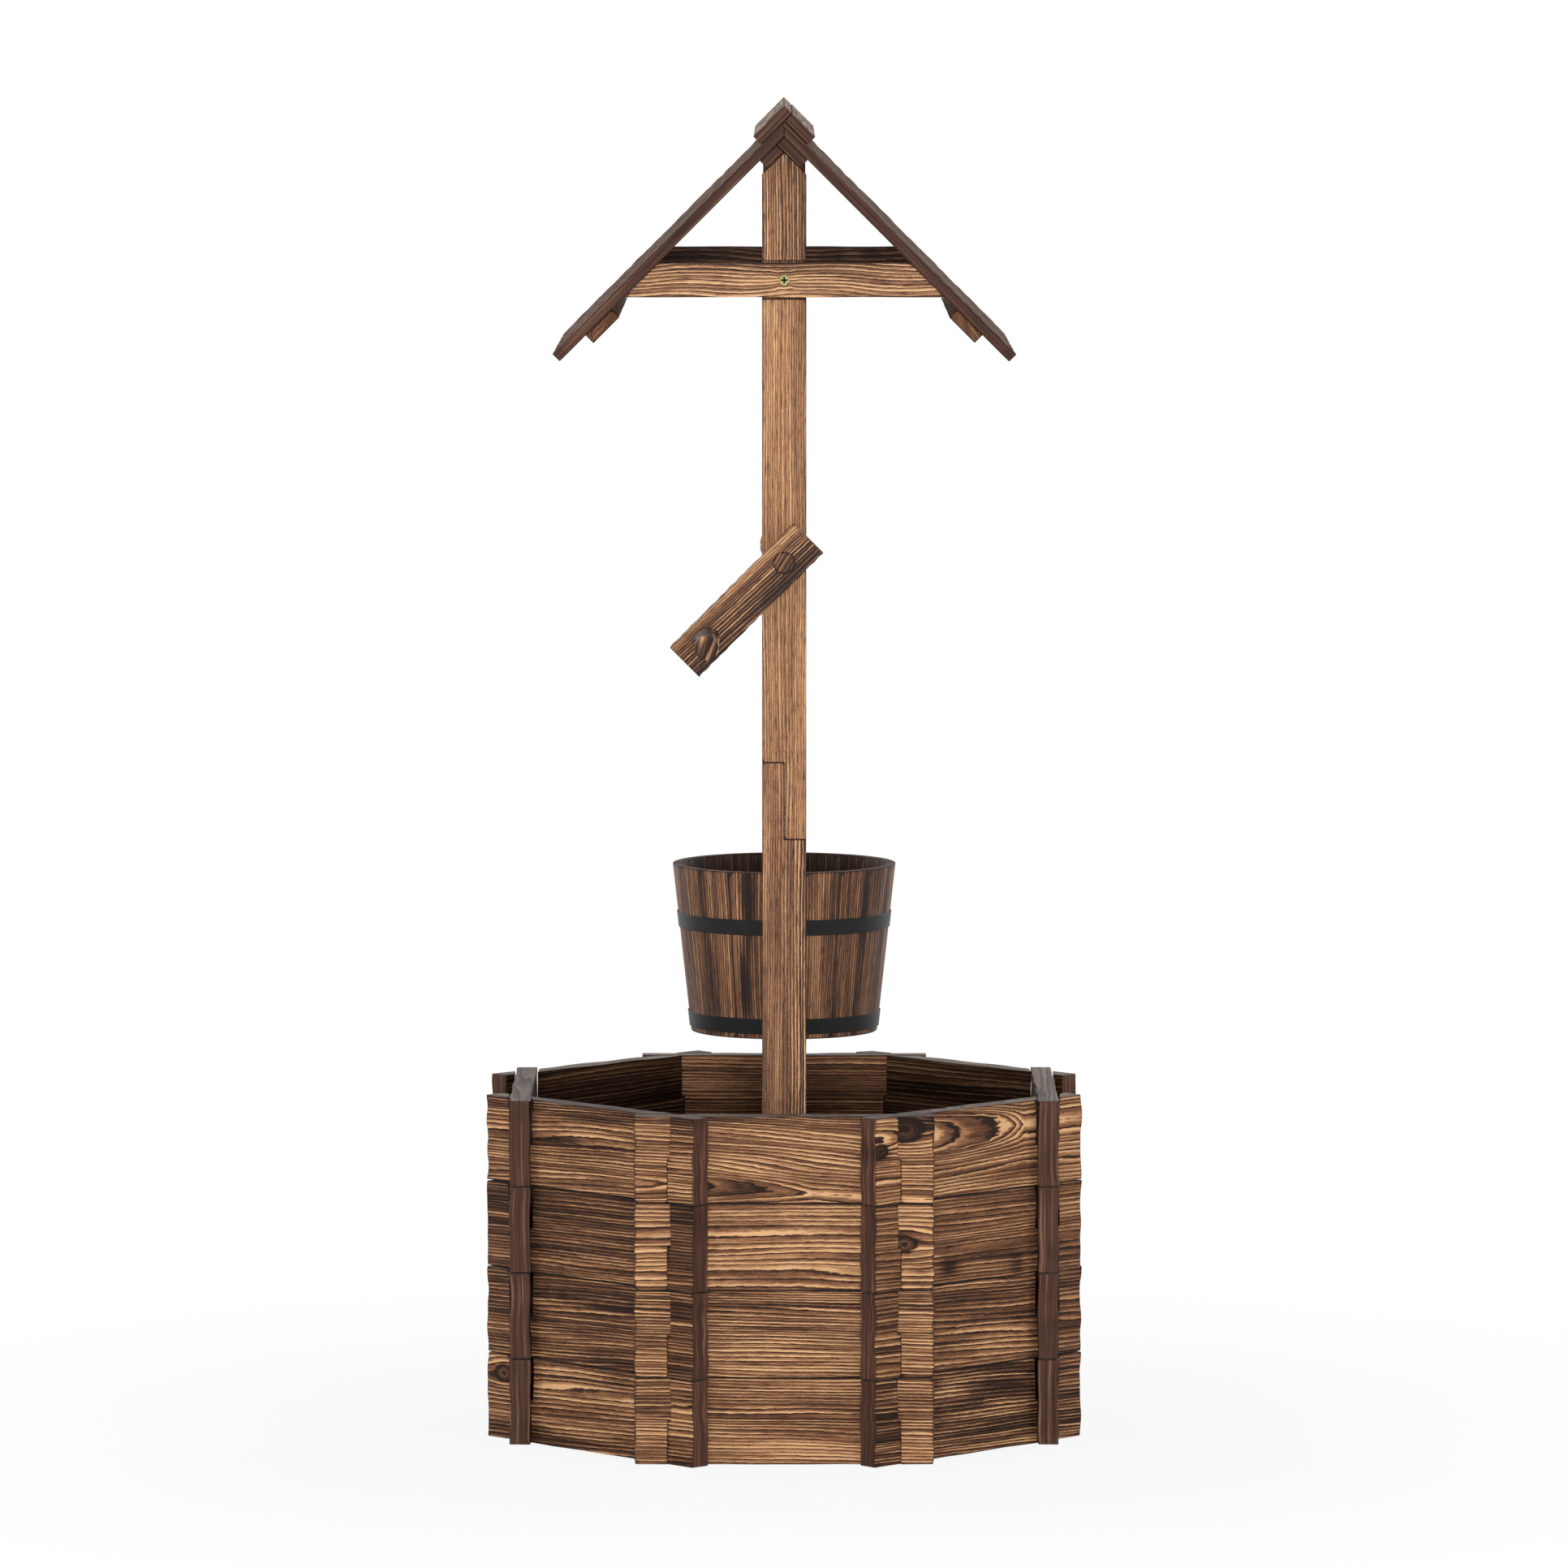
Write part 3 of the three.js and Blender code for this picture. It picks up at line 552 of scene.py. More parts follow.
class Hole:
    """A round hole through a block, at the place u, v of its grid. The block leaves out a square
    of half side square, and then its points move: one on the square goes to the circle, one at
    reach stays, with a straight blend between them."""

    def __init__(self, u, v, radius, reach, square=None):
        self.centre = (u, v)
        self.radius = radius
        self.reach = reach
        self.square = square or radius * 0.8

    def lines(self, axis):
        """The lines that the grid needs along u, axis 0, or v, axis 1."""
        middle = self.centre[axis]
        return [middle - self.reach, middle - self.square,
                middle + self.square, middle + self.reach]

    def box(self, depth):
        """The cells that the block leaves out, between the two places of depth."""
        return (*((middle - self.square, middle + self.square) for middle in self.centre), depth)

    def rounded(self, u, v):
        """The points' places when the square has become a circle."""
        x, z = u - self.centre[0], v - self.centre[1]
        ring = np.maximum(np.abs(x), np.abs(z))
        share = np.clip((self.reach - ring) / (self.reach - self.square), 0, 1)
        grow = 1 + share * (self.radius / np.maximum(np.hypot(x, z), 1e-6) - 1)
        return x * grow + self.centre[0], z * grow + self.centre[1]


def lathe(profile, columns):
    """Rings round an axis, from pairs of a radius and a place along the axis: radius times
    cosine, radius times sine, and place, as three grids of one row for each pair."""
    radius, place = (np.array(c, float)[:, None] for c in zip(*profile))
    angle = np.linspace(0, TAU, columns + 1)[:-1]
    return radius * np.cos(angle), radius * np.sin(angle), place + 0 * angle


def grid_faces(rows, columns):
    """Quads of a grid whose columns close on themselves."""
    i, j = np.meshgrid(np.arange(rows - 1), np.arange(columns), indexing="ij")
    here, there = i * columns + j, i * columns + (j + 1) % columns
    return np.stack([here, there, there + columns, here + columns], axis=2).reshape(-1, 4)


def as_points(x, y, z):
    """Three arrays of coordinates as one list of points."""
    return np.stack([x, y, z], axis=-1).reshape(-1, 3)


def turned(points, angle):
    """Points turned about the upright axis, anticlockwise seen from above."""
    c, s = math.cos(angle), math.sin(angle)
    x, y, z = points.T
    return np.stack([c * x - s * y, s * x + c * y, z], axis=1)


def close_mesh(mesh):
    """Merges the poles of a mesh, closes its ends and points its faces outwards."""
    work = bmesh.new()
    work.from_mesh(mesh)
    bmesh.ops.remove_doubles(work, verts=work.verts, dist=1e-6)
    bmesh.ops.dissolve_degenerate(work, edges=work.edges, dist=1e-7)
    rims = [e for e in work.edges if e.is_boundary]
    if rims:
        bmesh.ops.holes_fill(work, edges=rims, sides=0)
    bmesh.ops.recalc_face_normals(work, faces=work.faces)
    work.to_mesh(mesh)
    work.free()


def add_piece(name, node, slot, points, faces, marks, materials, kinds=None, body="frame",
              arris=None, sharp=35, open_ends=False):
    """Puts a piece in the scene: its shape in millimetres, marks as named numbers or vectors on
    its points, and its finishes, with kinds as each face's own. It stands for a CAD node and
    rides on a body, or on none. slot is not used. Edges that turn by more than sharp degrees
    are rounded over the width arris, which is the panel's unless given. A shape with open ends
    has its own roundings, and is closed instead."""
    mesh = bpy.data.meshes.new(name)
    mesh.from_pydata((points * MM).tolist(), [], faces.tolist())
    for mark, values in marks.items():
        values = np.asarray(values, np.float32)
        kind, field = ("FLOAT", "value") if values.ndim == 1 else ("FLOAT_VECTOR", "vector")
        mesh.attributes.new(mark, kind, "POINT").data.foreach_set(field, values.ravel())
    if kinds is not None:
        mesh.polygons.foreach_set("material_index", np.asarray(kinds, np.int32))
    mesh.update()
    if open_ends:
        close_mesh(mesh)
    for material in materials:
        mesh.materials.append(material)
    mesh.polygons.foreach_set("use_smooth", np.ones(len(mesh.polygons), bool))
    mesh.set_sharp_from_angle(angle=math.radians(sharp))
    piece = bpy.data.objects.new(name, mesh)
    bpy.context.scene.collection.objects.link(piece)
    if not open_ends:
        bevel = piece.modifiers.new("arris", "BEVEL")
        bevel.width = (arris or size("arris")) * MM
        bevel.segments = 2
        bevel.limit_method = "ANGLE"
        bevel.angle_limit = math.radians(sharp)
    if body:
        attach(piece, body)
    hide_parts(node)
    return piece


# Marks that the wood finishes read

NO_KNOT = (999.0, 999.0, 1.0)  # a distance that keeps the knot off the board


def stacked(*columns):
    """Columns of numbers, some of them single, as one array of vectors."""
    count = max(np.size(c) for c in columns)
    return np.stack([np.broadcast_to(np.asarray(c, float), count) for c in columns], axis=1)


def wood_marks(along, across, depth, edge, seed, pitch, tone, rise=None, knot=None, streak=None):
    """grain holds the place along the grain, across it and the ring number, which is the height
    rise over the pitch, leans with the depth and bends round a knot. streak holds the place
    along and across the streaks of a sawn face, and knot the distance from a knot. tone is
    lightness, contrast and char."""
    lengthwise, sideways = streak or (across, depth)
    rise = across if rise is None else rise
    shift = 1000.0 * (seed % 97)
    offsets = NO_KNOT
    if knot:
        place, height, radius = knot
        offsets = (along - place, across - height, radius)
        near = np.exp(-((along - place) / (2.6 * radius)) ** 2
                      - ((across - height) / (2.0 * radius)) ** 2)
        rise = rise - (across - height) * near * 0.75
    every = 0 * along
    return {
        "grain": stacked(along + shift, across + depth, (rise + depth * 0.35) / pitch + seed * 3.7),
        "streak": stacked(lengthwise + shift, sideways + seed * 11.0, 0.0),
        "tone": stacked(tone[0] + every, *tone[1:]),
        "knot": stacked(offsets[0] + every, *offsets[1:]),
        "edge": edge,
    }


def shaded(light, along, up, patches):
    """Lightness with soft patches, each given as its place along and up the board, its reach
    both ways and the lightness that it adds in its middle."""
    for place, level, reach, height, change in patches:
        light = light + change * np.exp(
            -((along - place) / reach) ** 2 - ((up - level) / height) ** 2)
    return light


def flame_rings(along, up, flame):
    """Rings that close in nested points: the distance from the axis of a pointed figure, less a
    share of the way back from its tip that dies away from the axis. Inside the figure the rings
    are spread by the last number. The figure is given as its tip along and up the plank, the
    side that it points to, its slope and that number."""
    tip, level, side, slope, spread = flame
    off = up - level
    behind = np.maximum((tip - along) * side, -12)
    rings = np.hypot(off, 2.0) - behind * (0.03 + slope * np.exp(-((off / 15) ** 2)))
    return np.maximum(rings, 0) + np.minimum(rings, 0) * spread


# Tub

# How a plank's grain looks, where it isn't drawn by lot: pitch of the growth lines, tone as
# lightness, contrast and char, slope of the lines, patches as in shaded(), flame as in
# flame_rings(), and knot as its place along and up the plank and its radius
FIGURES = {
    "front_4": dict(pitch=3.2, tone=(0.58, 1.05, 0.10), slope=0.05, flame=(18, 10, 1, 0.10, 0.4),
                    knot=(115, 66, 10.5),
                    patches=((113, 68, 16, 13, -0.5), (138, 74, 12, 9, -0.45),
                             (0, 74, 200, 8, -0.15), (-60, 9, 60, 9, -0.10),
                             (-36, 15, 34, 8, -0.14))),
    "front_3": dict(pitch=5.6, tone=(0.64, 1.1, 0.05), slope=0.01, knot=(115, 41, 7.0),
                    patches=((108, 47, 14, 7, -0.30), (126, 14, 8, 8, -0.2))),
    "front_2": dict(pitch=3.0, tone=(0.56, 1.2, 0.10), slope=0.03,
                    patches=((0, 66, 300, 10, -0.14), (0, 20, 300, 20, 0.05))),
    "front_1": dict(pitch=3.2, tone=(0.61, 1.1, 0.08), slope=0.02,
                    patches=((0, 62, 300, 16, -0.14), (0, 20, 300, 14, 0.06))),
    "front_left_4": dict(pitch=3.4, tone=(0.52, 1.1, 0.20), slope=-0.03,
                         patches=((0, 74, 300, 9, -0.28),)),
    "front_left_3": dict(pitch=3.0, tone=(0.39, 0.9, 0.25), slope=-0.02,
                         patches=((0, 62, 300, 15, -0.18),)),
    "front_left_2": dict(pitch=3.1, tone=(0.44, 1.0, 0.25), slope=-0.03,
                         patches=((0, 68, 300, 14, -0.18), (50, 6, 60, 6, -0.25))),
    "front_left_1": dict(pitch=4.4, tone=(0.51, 1.1, 0.15), slope=-0.03, knot=(-118, 60, 7.0)),
    "front_right_4": dict(pitch=4.2, tone=(0.55, 1.0, 0.08), slope=0.02,
                          flame=(52, 58, 1, 0.50, 0.15), knot=(-129, 48, 6.0),
                          patches=((-129, 47, 9, 9, -0.5), (-30, 62, 55, 13, -0.26))),
    "front_right_3": dict(pitch=4.2, tone=(0.43, 0.9, 0.15), slope=0.02,
                          patches=((-44, 15, 11, 6, -0.6), (54, 9, 10, 9, -0.3),
                                   (-110, 14, 9, 5, -0.2))),
    "front_right_2": dict(pitch=4.6, tone=(0.43, 0.95, 0.20), slope=0.03,
                          patches=((0, 58, 300, 16, -0.10), (0, 18, 300, 12, 0.08))),
    "front_right_1": dict(pitch=3.3, tone=(0.38, 1.35, 0.35), slope=0.03,
                          patches=((-40, 62, 24, 11, 0.25), (35, 60, 45, 12, -0.2),
                                   (-112, 61, 9, 7, 0.2), (-106, 46, 12, 6, -0.25))),
}


def plank_figure(name, seed, width):
    """How a plank's grain looks: drawn by lot, apart from what FIGURES sets."""
    rng = np.random.default_rng(seed)
    drawn = dict(
        pitch=rng.uniform(3.0, 4.6), slope=rng.uniform(-0.04, 0.04),
        tone=(rng.uniform(0.40, 0.54), rng.uniform(0.85, 1.1), rng.uniform(0.1, 0.3)),
        patches=[(rng.uniform(-120, 120), rng.uniform(0, width), rng.uniform(12, 200),
                  rng.uniform(7, 14), rng.uniform(-0.25, 0.12)) for _ in range(4)])
    return {**drawn, **FIGURES.get(name, {})}


def plank_block(half, width, thick, crossing, wall, below):
    """A plank's grid, with a notch wall wide to each side of both crossings, cut from below or
    from above to the plank's middle."""
    shelf = width / 2 + (TOUCH_GAP if below else -TOUCH_GAP) / 2
    span = (-1, shelf) if below else (shelf, width + 1)
    ends = [(s * crossing - wall, s * crossing + wall) for s in (-1, 1)]
    return Block(
        spaced([-half, *ends[0], *ends[1], half], size("grid")),
        spaced([0, shelf, width], size("grid")), spaced([0, thick], thick / 5),
        [(end, span, (-1, thick + 1)) for end in ends])


def make_plank(side, level):
    """One plank of the tub: u along it, v up it and w inwards. Its grid is sheared by its own
    depth at the two notches, so that their walls follow the planks that cross it at 45 degrees.
    Hollows go inwards only: on both faces, on the two sawn ends and along the upper and lower
    edges. The inner faces take the finish darkened as painted shade, apart from the rear planks',
    which are lightened a little as painted light."""
    turn = SIDES.index(side)
    seed = 40 * turn + level
    low, high = cad_box("front_plank_1")
    length_, thick, width = high - low
    half = length_ / 2
    middle = -low[1] - thick / 2
    crossing = middle * math.tan(math.pi / 8)
    wall = (thick / 2 + size("notch_clearance")) * ROOT2
    block = plank_block(half, width, thick, crossing, wall, turn % 2 == 0)
    u, v, w = block.u, block.v, block.w
    inward = w / thick
    outer, inner = (ripple(seed + n, (u, v), (85, 60)) * size("hollow") for n in (1000, 2000))
    shear = np.interp(np.abs(u), [0, crossing - wall, crossing + wall, half], [0, 1, 1, 0])
    sunk = ripple(seed + 3000, (v, w), (34, 60)) * size("end_hollow")
    near_end = np.exp(-np.maximum(half - np.abs(u), 0) / 5)
    x = u + np.sign(u) * (shear * (w - thick / 2) - sunk * near_end)
    y = low[1] + w + outer * (1 - inward) - inner * inward
    lift = ripple(seed + 4000, (u, w), (90, 60)) * 0.5
    near_edge = np.exp(-np.minimum(v, width - v) / 6)
    z = v + np.where(v < width / 2, 1, -1) * lift * near_edge
    foot = cad_box(f"{side}_plank_{level}")[0][2]
    points = turned(as_points(x, y, z + foot), turn * math.pi / 4)
    figure = plank_figure(f"{side}_{level}", seed, width)
    light, contrast, char = figure["tone"]
    light = shaded(light, u, v, figure["patches"])
    # Painted light: the rear planks' inner faces, which look to the front, are lightened
    if side == "rear":
        light = light + 0.08 * np.clip(inward * 2 - 0.5, 0, 1)
    rise = v + figure["slope"] * u
    if "flame" in figure:
        rise = flame_rings(u, rise, figure["flame"])
    marks = wood_marks(u, v, w, block.edge(), seed, figure["pitch"], (light, contrast, char),
                       rise, figure.get("knot"))
    # Inner faces of all but the rear planks take the painted shade finish
    painted_shade_faces = (block.axis == 2) & (block.sign > 0) & (side != "rear")
    kinds = np.where(painted_shade_faces, 3, np.array([2, 1, 0])[block.axis])
    made = finishes()
    name = f"{side}_plank_{level}"
    add_piece("hewn_" + name, name, "plank_wood", points, block.quads, marks,
              (made.face, made.top, made.end, made.inside), kinds)


class WELL_OT_tub(bpy.types.Operator):
    """Builds the 32 planks of the tub"""

    bl_idname = "well.tub"
    bl_label = "Tub planks"

    def execute(self, context):
        for side in SIDES:
            for level in range(1, COURSES + 1):
                make_plank(side, level)
        return {"FINISHED"}


def make_floor_board(number):
    """A floor board: u runs from -1 to 1 across the tub, v to the rear and w up. Half its width
    is that of the tub's flat, or less where the slanting sides come in at 45 degrees."""
    node = f"floor_board_{number}"
    low, high = cad_box(node)
    block = Block(spaced([-1, 0, 1], 0.03), spaced([low[1], high[1]], 7),
                  spaced([low[2], high[2]], 7))
    v, w = block.v, block.w
    flat = cad_box("floor_board_3")[1][0]
    x = block.u * np.minimum(flat, flat * ROOT2 - np.abs(v))
    sag = ripple(number, (x, v), (120, 60)) * 0.6 * (w > high[2] - 1)
    marks = wood_marks(x, v, w, block.edge(), 300 + number, 4.0, (0.42, 0.9, 0.3))
    add_piece("brushed_" + node, node, "floor_wood", as_points(x, v, w - sag), block.quads,
              marks, (finishes().face,))


def make_floor_tie():
    """The plain bar that ties the posts' feet together over the floor."""
    low, high = cad_box("floor_tie")
    block = Block(*(spaced(span, 6) for span in zip(low, high)))
    marks = wood_marks(block.v, block.u, block.w, block.edge(), 310, 3.6, (0.45, 1.0, 0.2))
    add_piece("brushed_floor_tie", "floor_tie", "floor_wood",
              as_points(block.u, block.v, block.w), block.quads, marks, (finishes().face,))


class WELL_OT_floor(bpy.types.Operator):
    """Builds the floor boards of the tub and the tie between the posts"""

    bl_idname = "well.floor"
    bl_label = "Tub floor"

    def execute(self, context):
        for number in range(1, FLOOR_BOARDS + 1):
            make_floor_board(number)
        make_floor_tie()
        return {"FINISHED"}


# Posts and crossbars

def make_post(side):
    """The two pieces of a post. The upper one has its lap, its notch for the crossbar, a round
    bore for the axle and a gabled top; the lower one has the other half of the lap."""
    low, high = cad_box("front_post_upper")
    foot, tongue = cad_box("front_post_lower")
    bar_low, bar_high = cad_box("front_crossbar")
    radius, height = axle_line()
    radius = radius + BEARING_CLEARANCE
    half, thick = high[0], high[1] - low[1]
    bore = Hole(0, height, radius, half - 2.5, radius * 0.82)
    eaves, split = high[2] - half, TOUCH_GAP / 2
    lap = (low[2], tongue[2] + TOUCH_GAP)
    notch = (bar_low[2] - BAR_CLEARANCE, bar_high[2] + BAR_CLEARANCE)
    notch_depth = bar_high[1] - low[1] + TOUCH_GAP
    through = (-1, thick + 1)
    grid = size("grid")
    block = Block(
        spaced(sorted([-half, split, half, *bore.lines(0)]), grid * 0.8),
        spaced([*lap, *bore.lines(1), *notch, eaves, high[2]], grid),
        spaced([0, notch_depth, thick], thick / 5),
        [((-half - 1, split), (lap[0] - 1, lap[1]), through),
         ((-half - 1, half + 1), notch, (-1, notch_depth)), bore.box(through)])
    x, z = bore.rounded(block.u, block.v)
    share = np.clip((z - eaves) / half, 0, 1)
    z = np.where(share > 0, eaves + share * (half - np.abs(x)), z)
    above = np.clip((z - bar_high[2]) / 6, 0, 1)
    tone = (0.68 - 0.17 * above, 0.55 + 0.35 * above, 0.05 + 0.15 * above)
    finish_post(side, "upper", block, x, z, 501, tone)
    shoulder = lap[0] - TOUCH_GAP
    block = Block(
        spaced([-half, -split, half], grid * 0.8), spaced([foot[2], shoulder, tongue[2]], grid),
        spaced([0, thick], thick / 5), [((-split, half + 1), (shoulder, lap[1]), through)])
    fall = np.clip((block.v - foot[2]) / (tongue[2] - foot[2]), 0, 1)
    strong = np.clip((block.u + 2) / half, 0, 1)
    tone = (0.30 + 0.37 * fall - 0.10 * strong, 0.50 + 0.9 * strong, 0.12)
    finish_post(side, "lower", block, block.u, block.v, 502, tone)


def finish_post(side, part, block, x, z, seed, tone):
    """Gives a post's grid its slight unevenness, its grain and its place."""
    seed = seed + (10 if side == "rear" else 0)
    wobble = (ripple(seed, (z, block.w), (160, 60)) - 0.5) * 0.5
    outside = np.abs(block.u) > np.abs(block.u).max() - 0.01
    x = x - np.sign(block.u) * np.maximum(wobble, 0) * outside
    front = cad_box("front_post_upper")[0][1]
    marks = wood_marks(z, x, block.w, block.edge(), seed, 2.7, tone)
    node = f"{side}_post_{part}"
    add_piece("brushed_" + node, node, "post_wood",
              turned(as_points(x, block.w + front, z), HALF_TURN[side]), block.quads, marks,
              (finishes().post,))


class WELL_OT_posts(bpy.types.Operator):
    """Builds the two posts, each of two lapped pieces"""

    bl_idname = "well.posts"
    bl_label = "Posts"

    def execute(self, context):
        for side in HALF_TURN:
            make_post(side)
        return {"FINISHED"}


# A crossbar's lightness, contrast and char, and its patches as in shaded(), up from its upper
# edge
BAR_TONES = {
    "front": ((0.65, 1.2, 0.08), ((0, 0, 300, 14, -0.16),)),
    # The rear bar's low lightness is partly painted shade, for the front bar's shadow on it
    "rear": ((0.24, 0.8, 0.2), ((-45, -8, 14, 6, -0.35), (-78, -6, 10, 6, -0.35),
                                (90, -15.25, 30, 9, -0.2))),
}


def make_crossbar(side):
    """A crossbar: u along it, v up it and w inwards. Its ends slope with the roof, and a round
    pocket takes the screw's head."""
    low, high = cad_box("front_crossbar")
    middle = (low[2] + high[2]) / 2
    head = cad_box("front_crossbar_screw")[1][0]
    pocket = Hole(0, middle, head + POCKET_GAP, head + 6, head * 0.8)
    floor = low[1] + POCKET_DEPTH
    block = Block(
        spaced([low[0], *pocket.lines(0), high[0]], size("grid")),
        spaced([low[2], *pocket.lines(1), high[2]], 3), spaced([low[1], floor, high[1]], 4),
        [pocket.box((low[1] - 1, floor))])
    v, w = block.v, block.w
    x, z = pocket.rounded(block.u * (1 - (v - low[2]) / high[0]), v)
    seed = 520 + (side == "rear")
    wobble = ripple(seed, (x, w), (110, 60)) * 0.5
    z = z + np.where(z < middle, wobble, -wobble) * (np.abs(z - middle) > 15)
    rise = v + 0.01 * x + 5 * ripple(seed + 2, (x, v), (170, 150))
    (light, contrast, char), patches = BAR_TONES[side]
    tone = (shaded(light, x, v - high[2], patches), contrast, char)
    marks = wood_marks(x, v, w, block.edge(), seed, 3.6, tone, rise)
    made = finishes()
    add_piece(f"brushed_{side}_crossbar", f"{side}_crossbar", "post_wood",
              turned(as_points(x, w, z), HALF_TURN[side]), block.quads, marks,
              (made.post, made.end), np.where(block.axis == 0, 1, 0))


def make_screw(side):
    """A countersunk screw, turned about its axis: a flat head, a narrow rim, a cone and a shank.
    A cross recess is sunk in the head with sloping walls. A place's distance from the cross is
    the lesser of those from its two bars, each the larger of its shares of the bar's reach and
    of its half width."""
    depth, reach, slim, rim = 1.4, 2.6, 0.24, 0.25
    low, high = cad_box("front_crossbar_screw")
    radius = high[0]
    shank = radius * 0.43
    face = [(share * (radius - rim), 0) for share in np.linspace(0, 1, 19)]
    back = [(radius, rim), (radius * 0.98, 2 * rim), (shank, SCREW_HEAD), (shank, SCREW_SHANK),
            (0.3, SCREW_TIP)]
    x, z, y = lathe(face + back, 96)
    arm = np.minimum(*(np.maximum(np.abs(p) / reach, np.abs(q) / (reach * slim))
                       for p, q in ((x, z), (z, x))))
    # sunk also darkens the recess as painted shade in yellow_zinc()
    sunk = np.clip((1.15 - arm) / 0.3, 0, 1)
    sunk[len(face):] = 0
    bar_low, bar_high = cad_box("front_crossbar")
    points = as_points(x, y + depth * sunk + low[1], z + (bar_low[2] + bar_high[2]) / 2)
    add_piece(f"{side}_zinc_screw", f"{side}_crossbar_screw", "yellow_zinc",
              turned(points, HALF_TURN[side]), grid_faces(*x.shape), {"sunk": sunk.ravel()},
              (finishes().zinc,), open_ends=True)


class WELL_OT_crossbars(bpy.types.Operator):
    """Builds the crossbars with their sloping ends, and their screws"""

    bl_idname = "well.crossbars"
    bl_label = "Crossbars"

    def execute(self, context):
        for side in HALF_TURN:
            make_crossbar(side)
            make_screw(side)
        return {"FINISHED"}


# Roof

# The edges of the laths, down the slope from the ridge, and their faces, out of the boards'
# underside for the battens and off their upper side for the caps
RIDGE_BATTENS = {"right": (0.0, 29.7), "left": (10.1, 30.5)}
RIDGE_BATTEN_FACES = (-9.5, -0.1)
EAVE_BATTEN = (214.65, 247.15)
EAVE_BATTEN_FACES = (-9.8, -0.1)
RIDGE_CAPS = {"left": (-9.5, 29.1), "right": (0.3, 29.4)}
CAP_FACES = (0.0, 9.5)
CAP_END = 27.0  # where the boards begin to be worn, under the caps' edges


def on_slope(base, along, out, y, side):
    """Points from their distance down a slope, out of it and along the ridge. The slope is the
    plane through the ridge at height base that falls at 45 degrees to the right; the left one is
    the same, given a half turn."""
    points = as_points((along + out) / ROOT2, y, base + (out - along) / ROOT2)
    return points if side == "right" else turned(points, math.pi)


def make_lath(name, node, side, base, span, rise, reach, seed, tone, materials,
              open_edges=False):
    """A lath that lies along the ridge: u runs along it, v down the slope over span, w out of
    the plane through the ridge at height base over rise. Its long edges bow in and out a little.
    The materials are those of its outer face, its ends and the rest; open edges look like the
    outer face."""
    seed = seed + (side == "left")
    block = Block(spaced([-reach, reach], size("grid")), spaced(span, 3.3), spaced(rise, 3.2))
    u, v, w = block.u, block.v, block.w
    bow = ripple(seed, (u,), (120,)) * 0.6
    off = v - sum(span) / 2
    down = v + np.where(off > 0, -bow, bow) * (np.abs(off) > (span[1] - span[0]) / 2 - 0.1)
    lines = 0.35 * v + 0.8 * w + 0.02 * u + 3 * ripple(seed + 3, (u,), (160,))
    marks = wood_marks(u, v, w, block.edge(), seed, 3.2, tone, lines, streak=(v, w))
    outer = (block.axis == 2) & (block.sign > 0) | (block.axis == 1) & open_edges
    kinds = np.where(block.axis == 0, 1, np.where(outer, 0, 2))
    add_piece(name, node, "roof_wood", on_slope(base, down, w, u, side), block.quads, marks,
              materials, kinds)


def make_roof_board(number, side, apex, reach, near, far):
    """A roof board: u along the ridge, v down the slope, w from its underside up. Its upper end
    is cut upright at the ridge, its lower corners are clipped and its lower end is ragged."""
    thick, clip = ROOF_BOARD_THICK, ROOF_BOARD_CLIP
    seed = 600 + number + (40 if side == "left" else 0)
    block = Block(spaced([near, near + clip, far - clip, far], 3.0),
                  spaced([0, reach - clip - 2, reach], size("grid")),
                  spaced([0, thick], thick / 3))
    u, v, w = block.u, block.v, block.w
    corner = np.maximum(clip - np.minimum(u - near, far - u), 0)
    last = reach - corner - ripple(seed, (u,), (46,))
    first = 0.03 - (w - thick)
    along = first + v / reach * (last - first)
    sway = ripple(seed + 9, (v, w), (90, 60)) * 0.7
    y = u + np.where(u < near + 0.01, sway, 0) - np.where(u > far - 0.01, sway, 0)
    worn = 0.5 * ripple(seed + 50, (u, v), (70, 90)) + 0.7 * ripple(690, (v,), (18,))
    out = w - thick - worn * (w > thick * 0.99) * np.clip((v - CAP_END) / 5, 0, 1)
    tone = (np.random.default_rng(seed).uniform(0.22, 0.34), 0.65, 0.2)
    marks = wood_marks(along, u, w, block.edge(), seed, 4.6, tone, streak=(along, w))
    kinds = np.where(block.axis != 2, 1, np.where(block.sign > 0, 0, 2))
    made = finishes()
    add_piece(f"roof_board_{side}_{number + 1}", f"roof_{side}", "roof_wood",
              on_slope(apex, along, out, y, side), block.quads, marks,
              (made.roof_top, made.end, made.face), kinds)


